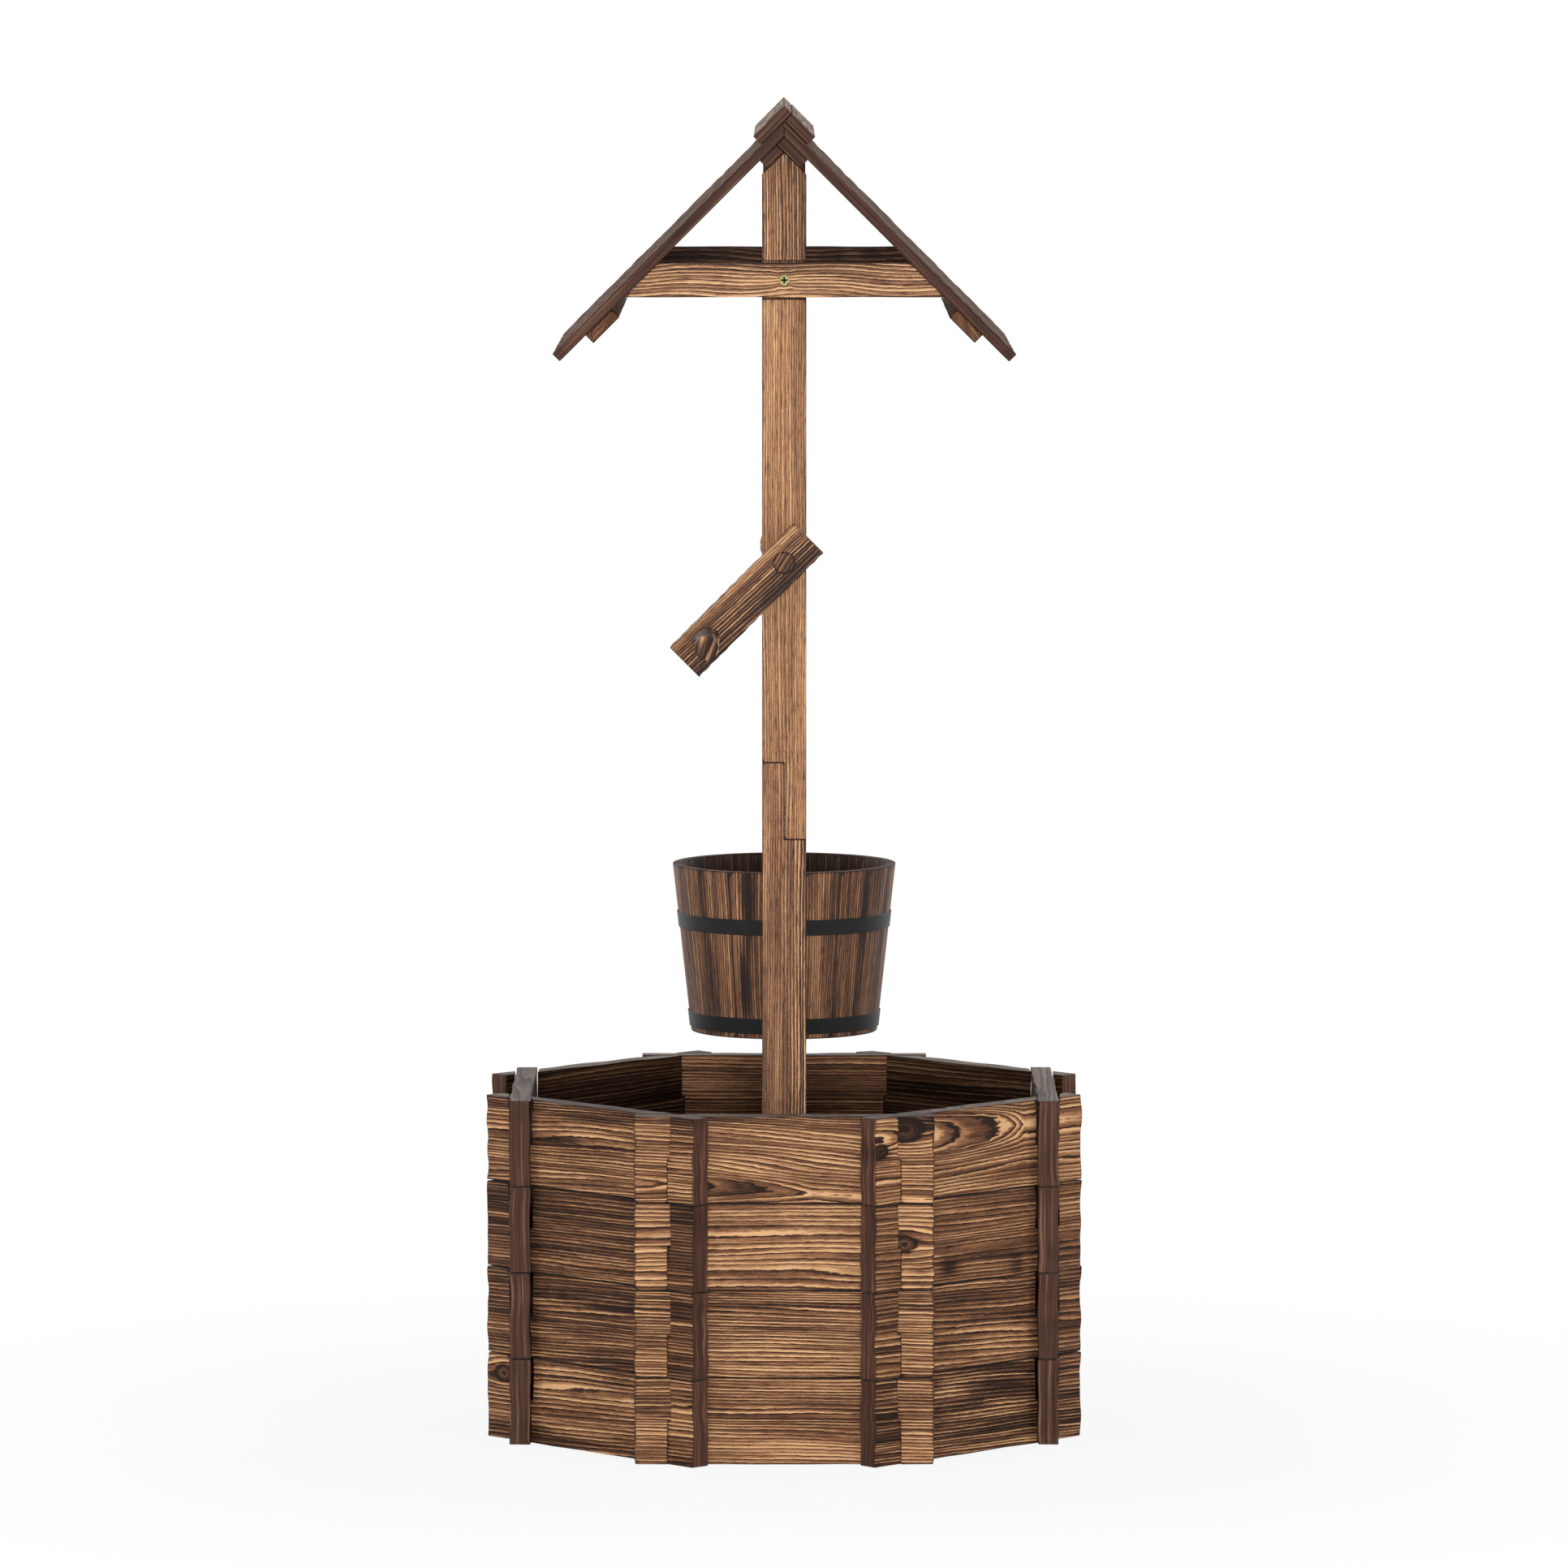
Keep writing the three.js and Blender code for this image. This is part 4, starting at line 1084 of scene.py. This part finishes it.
class WELL_OT_roof(bpy.types.Operator):
    """Builds the roof boards, the battens under them and the ridge caps"""

    bl_idname = "well.roof"
    bl_label = "Roof"

    def execute(self, context):
        low, high = cad_box("roof_right")
        near, far = low[1], high[1]
        apex = high[2] + TOUCH_GAP / 2
        gaps = ROOF_BOARD_GAP * (ROOF_BOARDS - 1)
        width = (far - near - gaps) / ROOF_BOARDS
        for side in ("right", "left"):
            for number in range(ROOF_BOARDS):
                start = near + number * (width + ROOF_BOARD_GAP)
                make_roof_board(number, side, apex, high[0] * ROOT2, start, start + width)
        made = finishes()
        under = apex - ROOF_BOARD_THICK * ROOT2
        battens = (made.face, made.end, made.face)
        inner_reach = far - BATTEN_INSET
        for side, span in RIDGE_BATTENS.items():
            make_lath(f"ridge_batten_{side}", f"roof_{side}", side, under, span,
                      RIDGE_BATTEN_FACES, inner_reach, 701, (0.40, 0.9, 0.2), battens)
            make_lath(f"eave_batten_{side}", f"roof_{side}", side, under, EAVE_BATTEN,
                      EAVE_BATTEN_FACES, inner_reach, 711, (0.44, 0.35, 0.05),
                      (made.face,) * 3)
        # Faces of the caps other than their tops and ends take the painted shade finish
        caps = (made.cap_top, made.end, made.inside)
        over = apex + TOUCH_GAP * ROOT2
        for side, span in RIDGE_CAPS.items():
            make_lath(f"brushed_ridge_cap_{side}", f"ridge_cap_{side}", side, over, span,
                      CAP_FACES, far, 721, (0.48, 0.9, 0.0), caps, side == "left")
        return {"FINISHED"}


# Windlass

def make_rod(node, profile, x, z, slant, pitch, tone, seed):
    """A rod turned about an axis that runs to the rear: rings of the given radii at the given
    places along it. Its growth lines are flat sheets at an angle, so they run along its side and
    cross its ends as stripes."""
    right, up, y = lathe(profile, 64)
    across = right * math.cos(slant) + up * math.sin(slant)
    deep = up * math.cos(slant) - right * math.sin(slant)
    radius = np.hypot(right, up)
    edge = np.maximum(radius.max() - radius, np.minimum(y - y.min(), y.max() - y))
    marks = wood_marks(y.ravel(), across.ravel(), deep.ravel() * 0.2, edge.ravel(), seed, pitch,
                       tone)
    add_piece("brushed_" + node, node, "post_wood", as_points(right + x, y, up + z),
              grid_faces(*y.shape), marks, (finishes().post,), body="windlass", sharp=50,
              open_ends=True)


def make_axle():
    """The axle, with a small bevel in front and a larger one at its rear end."""
    (_, front, _), (_, back, _) = cad_box("axle")
    radius, height = axle_line()
    bevel, rear_bevel = 0.8, 1.5
    profile = [(0, front), (radius * 0.5, front), (radius - bevel, front),
               (radius, front + bevel), (radius, back - rear_bevel),
               (radius - rear_bevel, back), (0, back)]
    make_rod("axle", profile, 0, height, -0.6, 3.0, (0.36, 0.8, 0.3), 801)


def make_handle():
    """The crank's handle, with a quarter-round edge in front. Returns its middle and radius."""
    low, high = cad_box("crank_handle")
    x, _, z = (low + high) / 2
    radius = (high[0] - low[0]) / 2
    tip, tail, bevel = low[1], high[1], HANDLE_ROUNDING
    profile = [(0, tip), (radius * 0.4, tip)]
    profile += [(radius - bevel + bevel * math.sin(t), tip + bevel - bevel * math.cos(t))
                for t in np.linspace(0, math.pi / 2, 7)]
    profile += [(radius, y) for y in np.linspace(tip + 8, tail - 1, 8)] + [(0, tail)]
    make_rod("crank_handle", profile, x, z, -0.45, 7.0, (0.36, 1.6, 0.1), 802)
    return x, z, radius


def make_arm(handle_x, handle_z, handle_radius):
    """The arm: u runs along it towards the axle's end, v across it and w to the rear, then it is
    turned by 45 degrees about the axle. Two round holes take the axle and the handle."""
    low, high = cad_box("crank_arm")
    radius, height = axle_line()
    half, step, reach = ARM_HALF, 2.0, 14.5
    # The arm hangs at 45 degrees, so its box shows how far its corners are
    hub, foot = high[0] * ROOT2 - half, low[0] * ROOT2 + half
    throw = math.hypot(handle_x, handle_z - height)
    holes = [Hole(0, 0, radius + AXLE_GAP, reach),
             Hole(-throw, 0, handle_radius + HANDLE_GAP, reach)]
    along, across = ({line for hole in holes for line in hole.lines(axis)} for axis in (0, 1))
    thick = high[1] - low[1]
    block = Block(spaced(sorted(along | {foot, hub}), step),
                  spaced(sorted(across | {-half, half}), step), spaced([0, thick], 4),
                  [hole.box((-1, thick + 1)) for hole in holes])
    u, v, w = block.u, block.v, block.w
    for hole in holes:
        u, v = hole.rounded(u, v)
    worn = ripple(812, (u + 3 * np.sign(v),), (15,)) * 0.8 * (np.abs(v) > half - 0.1)
    v = v - np.sign(v) * worn
    smooth = np.clip((v - 4) / 6, 0, 1)
    tone = (0.37 + 0.010 * v + 0.05 * smooth, 1.20 - 0.6 * smooth, 0.2 - 0.2 * smooth)
    marks = wood_marks(u, v, w, block.edge(), 811, 2.6, tone, v + 0.03 * u)
    add_piece("brushed_crank_arm", "crank_arm", "post_wood",
              as_points((u - v) / ROOT2, w + low[1], (u + v) / ROOT2 + height), block.quads,
              marks, (finishes().post,), body="windlass", arris=size("arris") * 0.7)


class WELL_OT_windlass(bpy.types.Operator):
    """Builds the axle, the crank arm and its handle"""

    bl_idname = "well.windlass"
    bl_label = "Windlass"

    def execute(self, context):
        make_axle()
        make_arm(*make_handle())
        return {"FINISHED"}


# Rope

def route_length(route):
    """Length of a line through points."""
    return float(np.sum(np.linalg.norm(np.diff(route, axis=0), axis=1)))


def unit(rows):
    """Vectors of length 1 that point the same way."""
    return rows / np.linalg.norm(rows, axis=1, keepdims=True)


def rope_tube(route, reference, radius, before, cut):
    """A three-strand rope along a route: a grid of rings round it whose radius swells three
    times round and once per strand, the swell turning with the distance gone, one turn per lay.
    reference is roughly square to the route and gives each ring its zero direction. before is
    the distance gone where the route starts. An end is rounded unless cut says that it is cut.
    The lay attribute holds the distance along, the turn round and the swell."""
    gone = np.cumsum([0, *np.linalg.norm(np.diff(route, axis=0), axis=1)])
    step, columns = 1.1, 24
    here = np.linspace(0, gone[-1], max(8, int(gone[-1] / step)))
    middle, toward = (np.stack([np.interp(here, gone, c) for c in rows.T], axis=1)
                      for rows in (route, np.broadcast_to(reference, route.shape)))
    tangent = unit(np.gradient(middle, axis=0))
    toward = unit(toward - tangent * np.sum(toward * tangent, axis=1, keepdims=True))
    beside = np.cross(tangent, toward)
    angle = np.linspace(0, TAU, columns + 1)[:-1]
    twist = angle - TAU * (here[:, None] + before) / size("rope_lay")
    swell = np.abs(np.cos(1.5 * twist))
    ends = np.minimum(here + cut[0] * radius, gone[-1] - here + cut[1] * radius)[:, None]
    share = np.clip(ends / radius, 0, 1)
    reach = radius * (0.80 + 0.20 * swell ** 0.8) * np.sqrt(share * (2 - share)) + 0.02
    outward = (np.cos(angle)[:, None] * toward[:, None]
               + np.sin(angle)[:, None] * beside[:, None])
    points = (middle[:, None] + reach[..., None] * outward).reshape(-1, 3)
    lay = as_points(here[:, None] + 0 * twist, twist / TAU, swell)
    return points, grid_faces(*twist.shape), {"lay": lay}


def make_rope(name, node, body, route, reference, thickness=None, before=0.0,
              cut=(False, False)):
    """A piece of rope along a route, as rope_tube() says."""
    radius = (thickness or size("rope")) / 2
    tube = rope_tube(route, reference, radius, before, cut)
    return add_piece(name, node, "rope", *tube, (finishes().rope,), body=body, sharp=80,
                     open_ends=True)


def winding_route():
    """Two layers on the axle: a helix that steps outwards and turns back on itself. Its radius
    grows along a smooth step where it climbs to the outer layer. Also the way out from the axle
    at each of its points."""
    axle, height = axle_line()
    turns = INNER_TURNS + CLIMB_TURNS + OUTER_TURNS
    turn = np.linspace(0, turns, round(turns * 48) + 1)
    climb = np.clip((turn - INNER_TURNS) / CLIMB_TURNS, 0, 1)
    eased = climb ** 2 * (3 - 2 * climb)
    radius = axle + TOUCH_GAP + ROPE / 2 + eased * (ROPE + LAYER_GAP)
    inner = INNER_TURNS + CLIMB_TURNS / 2
    out = (np.minimum(turn, inner) - inner) * INNER_PITCH
    back = np.maximum(turn - INNER_TURNS - CLIMB_TURNS, 0) * OUTER_PITCH
    y = OUTER_TURNS * OUTER_PITCH + out - back
    angle = LEAVE_ANGLE + (turn - turns) * TAU
    outward = as_points(np.sin(angle), 0 * angle, -np.cos(angle))
    return as_points(0 * y, y, 0 * y + height) + outward * radius[:, None], outward


def hoist_routes(winding, knot_top):
    """Two routes: from the winding's end along its tangent, bent to the upright in a cubic
    curve, and from there straight down to the knot."""
    top = winding[-1]
    tangent = top - winding[-2]
    tangent = tangent / np.linalg.norm(tangent)
    start = top + tangent * TOUCH_GAP
    end = np.array([0, start[1], start[2] - LEAD_DROP])
    pull = 9
    handles = [start, start + tangent * pull, end + (0, 0, pull), end]
    t = np.linspace(0, 1, 25)[:, None]
    weights = [(1 - t) ** 3, 3 * t * (1 - t) ** 2, 3 * t ** 2 * (1 - t), t ** 3]
    bend = sum(weight * handle for weight, handle in zip(weights, handles))
    drop = np.linspace(end[2], knot_top, 12)
    return bend, as_points(0 * drop, 0 * drop + end[1], drop)


def smooth_route(corners, steps):
    """A curve through its corners: Catmull-Rom, with the knots spaced by the square root of the
    distances."""
    first, last = 2 * corners[0] - corners[1], 2 * corners[-1] - corners[-2]
    p = np.concatenate([[first], corners, [last]])
    gap = np.sqrt(np.linalg.norm(np.diff(p, axis=0), axis=1))
    s = np.linspace(0, 1, steps + 1)[:-1, None]
    pieces = []
    for i in range(1, len(p) - 2):
        a, b, c, d = p[i - 1:i + 3]
        ab, bc, cd = gap[i - 1:i + 2]
        leave = ((b - a) / ab - (c - a) / (ab + bc) + (c - b) / bc) * bc
        arrive = ((c - b) / bc - (d - b) / (bc + cd) + (d - c) / cd) * bc
        pieces.append((2 * s ** 3 - 3 * s ** 2 + 1) * b + (s ** 3 - 2 * s ** 2 + s) * leave
                      + (3 * s ** 2 - 2 * s ** 3) * c + (s ** 3 - s ** 2) * arrive)
    return np.concatenate(pieces + [[corners[-1]]])


def bail_route(height, at_hole, outside):
    """The bail, from one stop knot to the other: points given on one side, from outside
    the hole up to the knot in the middle, the same on the other side, and a smooth curve."""
    inside = at_hole - STAVE_THICK - ROPE / 2
    bend = BAIL_BEND
    turn = inside - bend
    side = np.array([[outside, 0], [at_hole, 0], [inside + ROPE / 2, 0], [inside, 0.25],
                     [inside - bend / 2, bend / 4], [turn, bend],
                     [turn / 2, (bend + BAIL_RISE) / 2], [0, BAIL_RISE]])
    y, z = np.concatenate([side * (-1, 1), side[-2::-1]]).T
    return smooth_route(as_points(0 * y, y, height + z), 8)


def knot_coil(centre, axis, turns):
    """The turns of a stopper knot: a helix round the rope that it is tied in. Also the way out
    from that rope at each of its points."""
    angle = np.linspace(0, turns * TAU, int(turns * 28))
    lengthwise = (angle / (turns * TAU) - 0.5) * turns * KNOT_PITCH
    axis = np.array(axis, float)
    first = np.array([1.0, 0, 0])
    second = np.cross(axis, first)
    outward = np.cos(angle)[:, None] * first + np.sin(angle)[:, None] * second
    return np.array(centre) + axis * lengthwise[:, None] + outward * KNOT_RADIUS, outward


class WELL_OT_rope(bpy.types.Operator):
    """Builds the rope: its winding, its free stretch and the bucket's bail"""

    bl_idname = "well.rope"
    bl_label = "Rope"

    def execute(self, context):
        height = cad_box("bucket_staves")[1][2] - BAIL_HOLE_DROP
        knot = height + BAIL_RISE
        winding, outward = winding_route()
        coil = make_rope("twisted_winding", "rope_winding", "windlass", winding, outward)
        bend, straight = hoist_routes(winding, knot + KNOT_COVER)
        lead = make_rope("twisted_lead", "hoist_rope", None, bend, (0, 1, 0), cut=(False, True))
        top, foot = straight[0], straight[-1]
        tuple((top + (0, 0, LEAD_DROP)) * MM)
        tuple(top * MM)
        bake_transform(lead)
        self.declare(coil, winding, "object", "coiled", [lead])
        piece = make_rope("twisted_hoist_rope", "hoist_rope", "hanging_rope", straight,
                          (0, 1, 0), before=route_length(bend), cut=(True, False))
        self.declare(piece, straight, "knot", "taut")
        top[2] * MM
        (top[2] - foot[2] - LIFT) / (top[2] - foot[2])
        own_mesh(piece)
        self.bail(height, knot)
        return {"FINISHED"}

    def bail(self, height, knot):
        """The bail through the two holes at a height, with its stop knots and the knot that the
        rope is tied to."""
        at_hole = bucket_radius(height)
        outside = at_hole + TOUCH_GAP + STOP_KNOT
        bail = bail_route(height, at_hole, outside)
        piece = make_rope("twisted_bail", "bucket_bail", "bail", bail, (1, 0, 0))
        stop = outside + 1
        knots = []
        for name, centre, axis, turns in (
                ("bail_top_knot", (0, 0, knot), (0, 0, 1), 2.6),
                ("front_stop_knot", (0, -stop, height), (0, 1, 0), 2.2),
                ("rear_stop_knot", (0, stop, height), (0, 1, 0), 2.2)):
            coil, outward = knot_coil(centre, axis, turns)
            knots.append(make_rope(name, "bucket_bail", "bail", coil, outward, KNOT_ROPE))
        self.declare(piece, bail, "object", "hanging", knots)

    def declare(self, piece, route, far_end, lay, knots=()):
        """Turns a cord's route into points in metres, which nothing uses further."""
        path = (route * MM).tolist()


# Bucket

# Lightness of the staves in front, counted anticlockwise from the right, and patches as in
# shaded(), up and across the stave
STAVE_TONES = {
    10: (0.36, ()),
    11: (0.42, ((60, -12, 90, 3, -0.15), (60, 13, 90, 4, 0.10))),
    12: (0.42, ((125, 1, 32, 4, -1.0), (50, -5, 32, 4, -1.0), (80, -13, 80, 4, 0.14))),
    13: (0.42, ()),
    14: (0.46, ((70, -13, 90, 5, 0.10),)),
    15: (0.36, ((115, 13, 35, 3, -0.5), (20, 12, 40, 4, -0.45))),
    16: (0.34, ((100, -16, 45, 3, -0.4),)),
}


def bucket_radius(height):
    """Radius of the staves' outside at a height: straight from the base up to the rim."""
    low, high = cad_box("bucket_staves")
    share = (height - low[2]) / (high[2] - low[2])
    return BASE_RADIUS + (RIM_RADIUS - BASE_RADIUS) * share


def joined(shapes):
    """Several sets of points, faces and marks as one."""
    points, faces, marks = zip(*shapes)
    starts = np.cumsum([0, *map(len, points)])
    faces = [quads + start for quads, start in zip(faces, starts)]
    return np.concatenate(points), np.concatenate(faces), {
        key: np.concatenate([one[key] for one in marks]) for key in marks[0]}


def stave(number, low, high, groove):
    """A stave: u across it, v up it and w outwards, bent round the bucket's axis and along its
    slope. It has a groove for the bottom, and in front and behind a hole for the bail. Neighbours
    stand more or less proud by a little."""
    tall, wall = high - low, STAVE_THICK
    hole = Hole(0, tall - BAIL_HOLE_DROP, BAIL_HOLE_RADIUS, 9.0)
    middle = (number + 0.5) * TAU / STAVES
    at_hole = bucket_radius(low + hole.centre[1])
    half = at_hole * math.pi / STAVES - STAVE_GAP / 2
    lines, heights, steps = [-half, half], [0, *groove, tall], (5.0, 6.0)
    empty = [((-half - 1, half + 1), groove, (-1, CROZE_DEPTH))]
    bored = abs(math.sin(middle)) > 1 - 1e-6
    if bored:
        lines[1:1], heights[3:3], steps = hole.lines(0), hole.lines(1), (2.0, 2.0)
        empty.append(hole.box((-1, wall + 1)))
    block = Block(spaced(lines, steps[0]), spaced(heights, steps[1]),
                  spaced([0, CROZE_DEPTH, wall], 3), empty)
    u, v, w = block.u, block.v, block.w
    if bored:
        u, v = hole.rounded(u, v)
    seed = 900 + number
    proud = 0.25 * ripple(seed, (u, v), (60, 150)) * (w > wall - 0.01)
    radius = bucket_radius(low + v) - wall + w - proud
    angle = middle + u / at_hole
    rng = np.random.default_rng(seed)
    light, patches = STAVE_TONES.get(number, (rng.uniform(0.28, 0.40), ()))
    # Painted shade: staves darken towards their inner face, inside the bucket
    light = shaded(light, v, u, patches) - 0.22 * (1 - w / wall)
    tone = (light, rng.uniform(0.65, 0.9), rng.uniform(0.1, 0.3))
    marks = wood_marks(v, u, w, block.edge(), seed, rng.uniform(2.2, 3.2), tone)
    return as_points(radius * np.cos(angle), radius * np.sin(angle), v + low), block.quads, marks


def make_staves():
    """The bucket's 18 staves as one piece."""
    low, high = cad_box("bucket_staves")
    disc_low, disc_high = cad_box("bucket_bottom")
    groove = (disc_low[2] - low[2] - TOUCH_GAP, disc_high[2] - low[2] + TOUCH_GAP)
    shape = joined([stave(number, low[2], high[2], groove) for number in range(STAVES)])
    add_piece("brushed_staves", "bucket_staves", "bucket_wood", *shape, (finishes().bucket,),
              body="bucket", arris=0.4)


def make_bottom():
    """The bucket's bottom: rings of points round the axis on both faces of a disc."""
    low, high = cad_box("bucket_bottom")
    radius, foot, top = high[0], low[2], high[2]
    under = [(0, foot), (radius / 2, foot), (radius - 1, foot), (radius, foot + 1)]
    over = [(radius, top - 1), (radius - 1, top), (radius / 2, top), (0, top)]
    x, y, z = lathe(under + over, 96)
    points = as_points(x, y, z)
    marks = wood_marks(*points.T, 0 * points[:, 0] + 5, 950, 3.6, (0.4, 1.0, 0.3))
    add_piece("brushed_bucket_bottom", "bucket_bottom", "bucket_wood", points,
              grid_faces(*x.shape), marks, (finishes().bucket,), body="bucket", open_ends=True)


def make_hoop(place):
    """A hoop: a closed band that follows the bucket's slope, between two distances from it."""
    low, high = cad_box(f"bucket_hoop_{place}")
    block = Block(np.linspace(0, TAU, 145), spaced([low[2], high[2]], 3.5),
                  np.array(HOOP_FACES), closed=True)
    radius = bucket_radius(block.v) + block.w
    add_piece(f"painted_hoop_{place}", f"bucket_hoop_{place}", "hoop_steel",
              as_points(radius * np.cos(block.u), radius * np.sin(block.u), block.v),
              block.quads, {}, (finishes().hoop,), body="bucket", arris=0.25)


class WELL_OT_bucket(bpy.types.Operator):
    """Builds the bucket's staves, bottom and hoops"""

    bl_idname = "well.bucket"
    bl_label = "Bucket"

    def execute(self, context):
        make_staves()
        make_bottom()
        for place in ("lower", "upper"):
            make_hoop(place)
        return {"FINISHED"}


# Stage, in metres

class WELL_OT_stage(bpy.types.Operator):
    """Sets the floor, the lamps, the world and the camera"""

    bl_idname = "well.stage"
    bl_label = "Studio"

    def execute(self, context):
        scene = context.scene
        self.floor(scene)
        self.world(scene)
        self.lamps(scene)
        self.camera(scene)
        scene.view_settings.view_transform = "Standard"
        return {"FINISHED"}

    def floor(self, scene):
        """A wide pale floor that keeps the shadow near the object. The rays that see the studio
        find it almost white there and quite white further off."""
        mesh = bpy.data.meshes.new("studio_floor")
        far = 60.0
        corners = [(-far, -far, 0), (far, -far, 0), (far, far, 0), (-far, far, 0)]
        mesh.from_pydata(corners, [], [(0, 1, 2, 3)])
        floor = bpy.data.objects.new("studio_floor", mesh)
        scene.collection.objects.link(floor)
        paint = Paint(bpy.data.materials.new("studio_floor"))
        x, y, _ = paint.place()
        away = (x * x + y * y).math("SQRT").step(0.35, 1.1)
        matt = paint.node(
            "ShaderNodeBsdfDiffuse", inputs={"Color": (*scene.well_colours.floor, 1)})
        glow = paint.node(
            "ShaderNodeEmission", inputs={"Color": (1, 1, 1, 1), "Strength": 1.0})
        share = self.seen(paint) * (away * 0.12 + 0.88)
        paint.surface(paint.node("ShaderNodeMixShader", inputs={0: share, 1: matt, 2: glow}))
        mesh.materials.append(paint.owner)

    def seen(self, paint):
        """1 for the rays that see the studio: those of the camera, of gloss and through glass."""
        rays = paint.node("ShaderNodeLightPath").socket.node
        camera, gloss, glass = (Value(paint, rays.outputs[f"Is {kind} Ray"])
                                for kind in ("Camera", "Glossy", "Transmission"))
        return camera.most(gloss).most(glass)

    def world(self, scene):
        """A white world, which gives little light itself."""
        scene.world = bpy.data.worlds.new("studio")
        paint = Paint(scene.world)
        dim, white = (
            paint.node("ShaderNodeBackground", inputs={"Color": (1, 1, 1, 1), "Strength": level})
            for level in (0.22, 1.0))
        lit = paint.node(
            "ShaderNodeMixShader", inputs={0: self.seen(paint), 1: dim, 2: white})
        paint.surface(lit, "ShaderNodeOutputWorld")

    def lamps(self, scene):
        """Soft lamps, most of their light from a low one in front. Each has its turn about the
        object from the front, its angle above the floor, its level and the width of its glow, in
        degrees."""
        for name, azimuth, elevation, level, spread in (
                ("front_sun", 0, 1, 0.78, 14), ("left_sun", -62, 2, 0.24, 30),
                ("right_sun", 62, 2, 0.24, 30), ("back_left_sun", -140, 12, 0.40, 30),
                ("back_right_sun", 140, 12, 0.40, 30), ("top_sun", 0, 84, 0.30, 50)):
            data = bpy.data.lights.new(name, "SUN")
            data.energy = level * math.pi
            data.angle = math.radians(spread)
            lamp = bpy.data.objects.new(name, data)
            scene.collection.objects.link(lamp)
            lamp.rotation_euler = (math.radians(90 - elevation), 0, math.radians(azimuth))

    def camera(self, scene):
        """The photograph's camera: 8.8 m in front of the tub's axis, a little above the object,
        pitched down by 5 degrees."""
        data = bpy.data.cameras.new("camera")
        data.sensor_width = 36.0
        data.lens = 223.602
        data.clip_start = 0.1
        data.clip_end = 100
        camera = bpy.data.objects.new("camera", data)
        scene.collection.objects.link(camera)
        camera.location = (-0.00018, -8.7912, 1.3486)
        camera.rotation_euler = (math.radians(90 - 4.97), 0, 0)
        scene.camera = camera


class WELL_PT_panel(bpy.types.Panel):
    """Lists the well's pieces in the sidebar"""

    bl_idname = "WELL_PT_panel"
    bl_label = "Wishing well planter"
    bl_space_type = "VIEW_3D"
    bl_region_type = "UI"
    bl_category = "Well"

    def draw(self, context):
        for operator in OPERATORS:
            self.layout.operator(operator.bl_idname)


OPERATORS = (WELL_OT_rope, WELL_OT_tub, WELL_OT_floor, WELL_OT_posts, WELL_OT_crossbars,
             WELL_OT_roof, WELL_OT_windlass, WELL_OT_bucket, WELL_OT_stage)
CLASSES = (WellSizes, WellColours, *OPERATORS, WELL_PT_panel)


def register():
    for each in CLASSES:
        bpy.utils.register_class(each)
    bpy.types.Scene.well_sizes = bpy.props.PointerProperty(type=WellSizes)
    bpy.types.Scene.well_colours = bpy.props.PointerProperty(type=WellColours)


def unregister():
    del bpy.types.Scene.well_sizes
    del bpy.types.Scene.well_colours
    for each in reversed(CLASSES):
        bpy.utils.unregister_class(each)


def main():
    """Builds everything."""
    register()
    for operator in OPERATORS:
        group, name = operator.bl_idname.split(".")
        getattr(getattr(bpy.ops, group), name)()


if __name__ == "__main__":
    main()
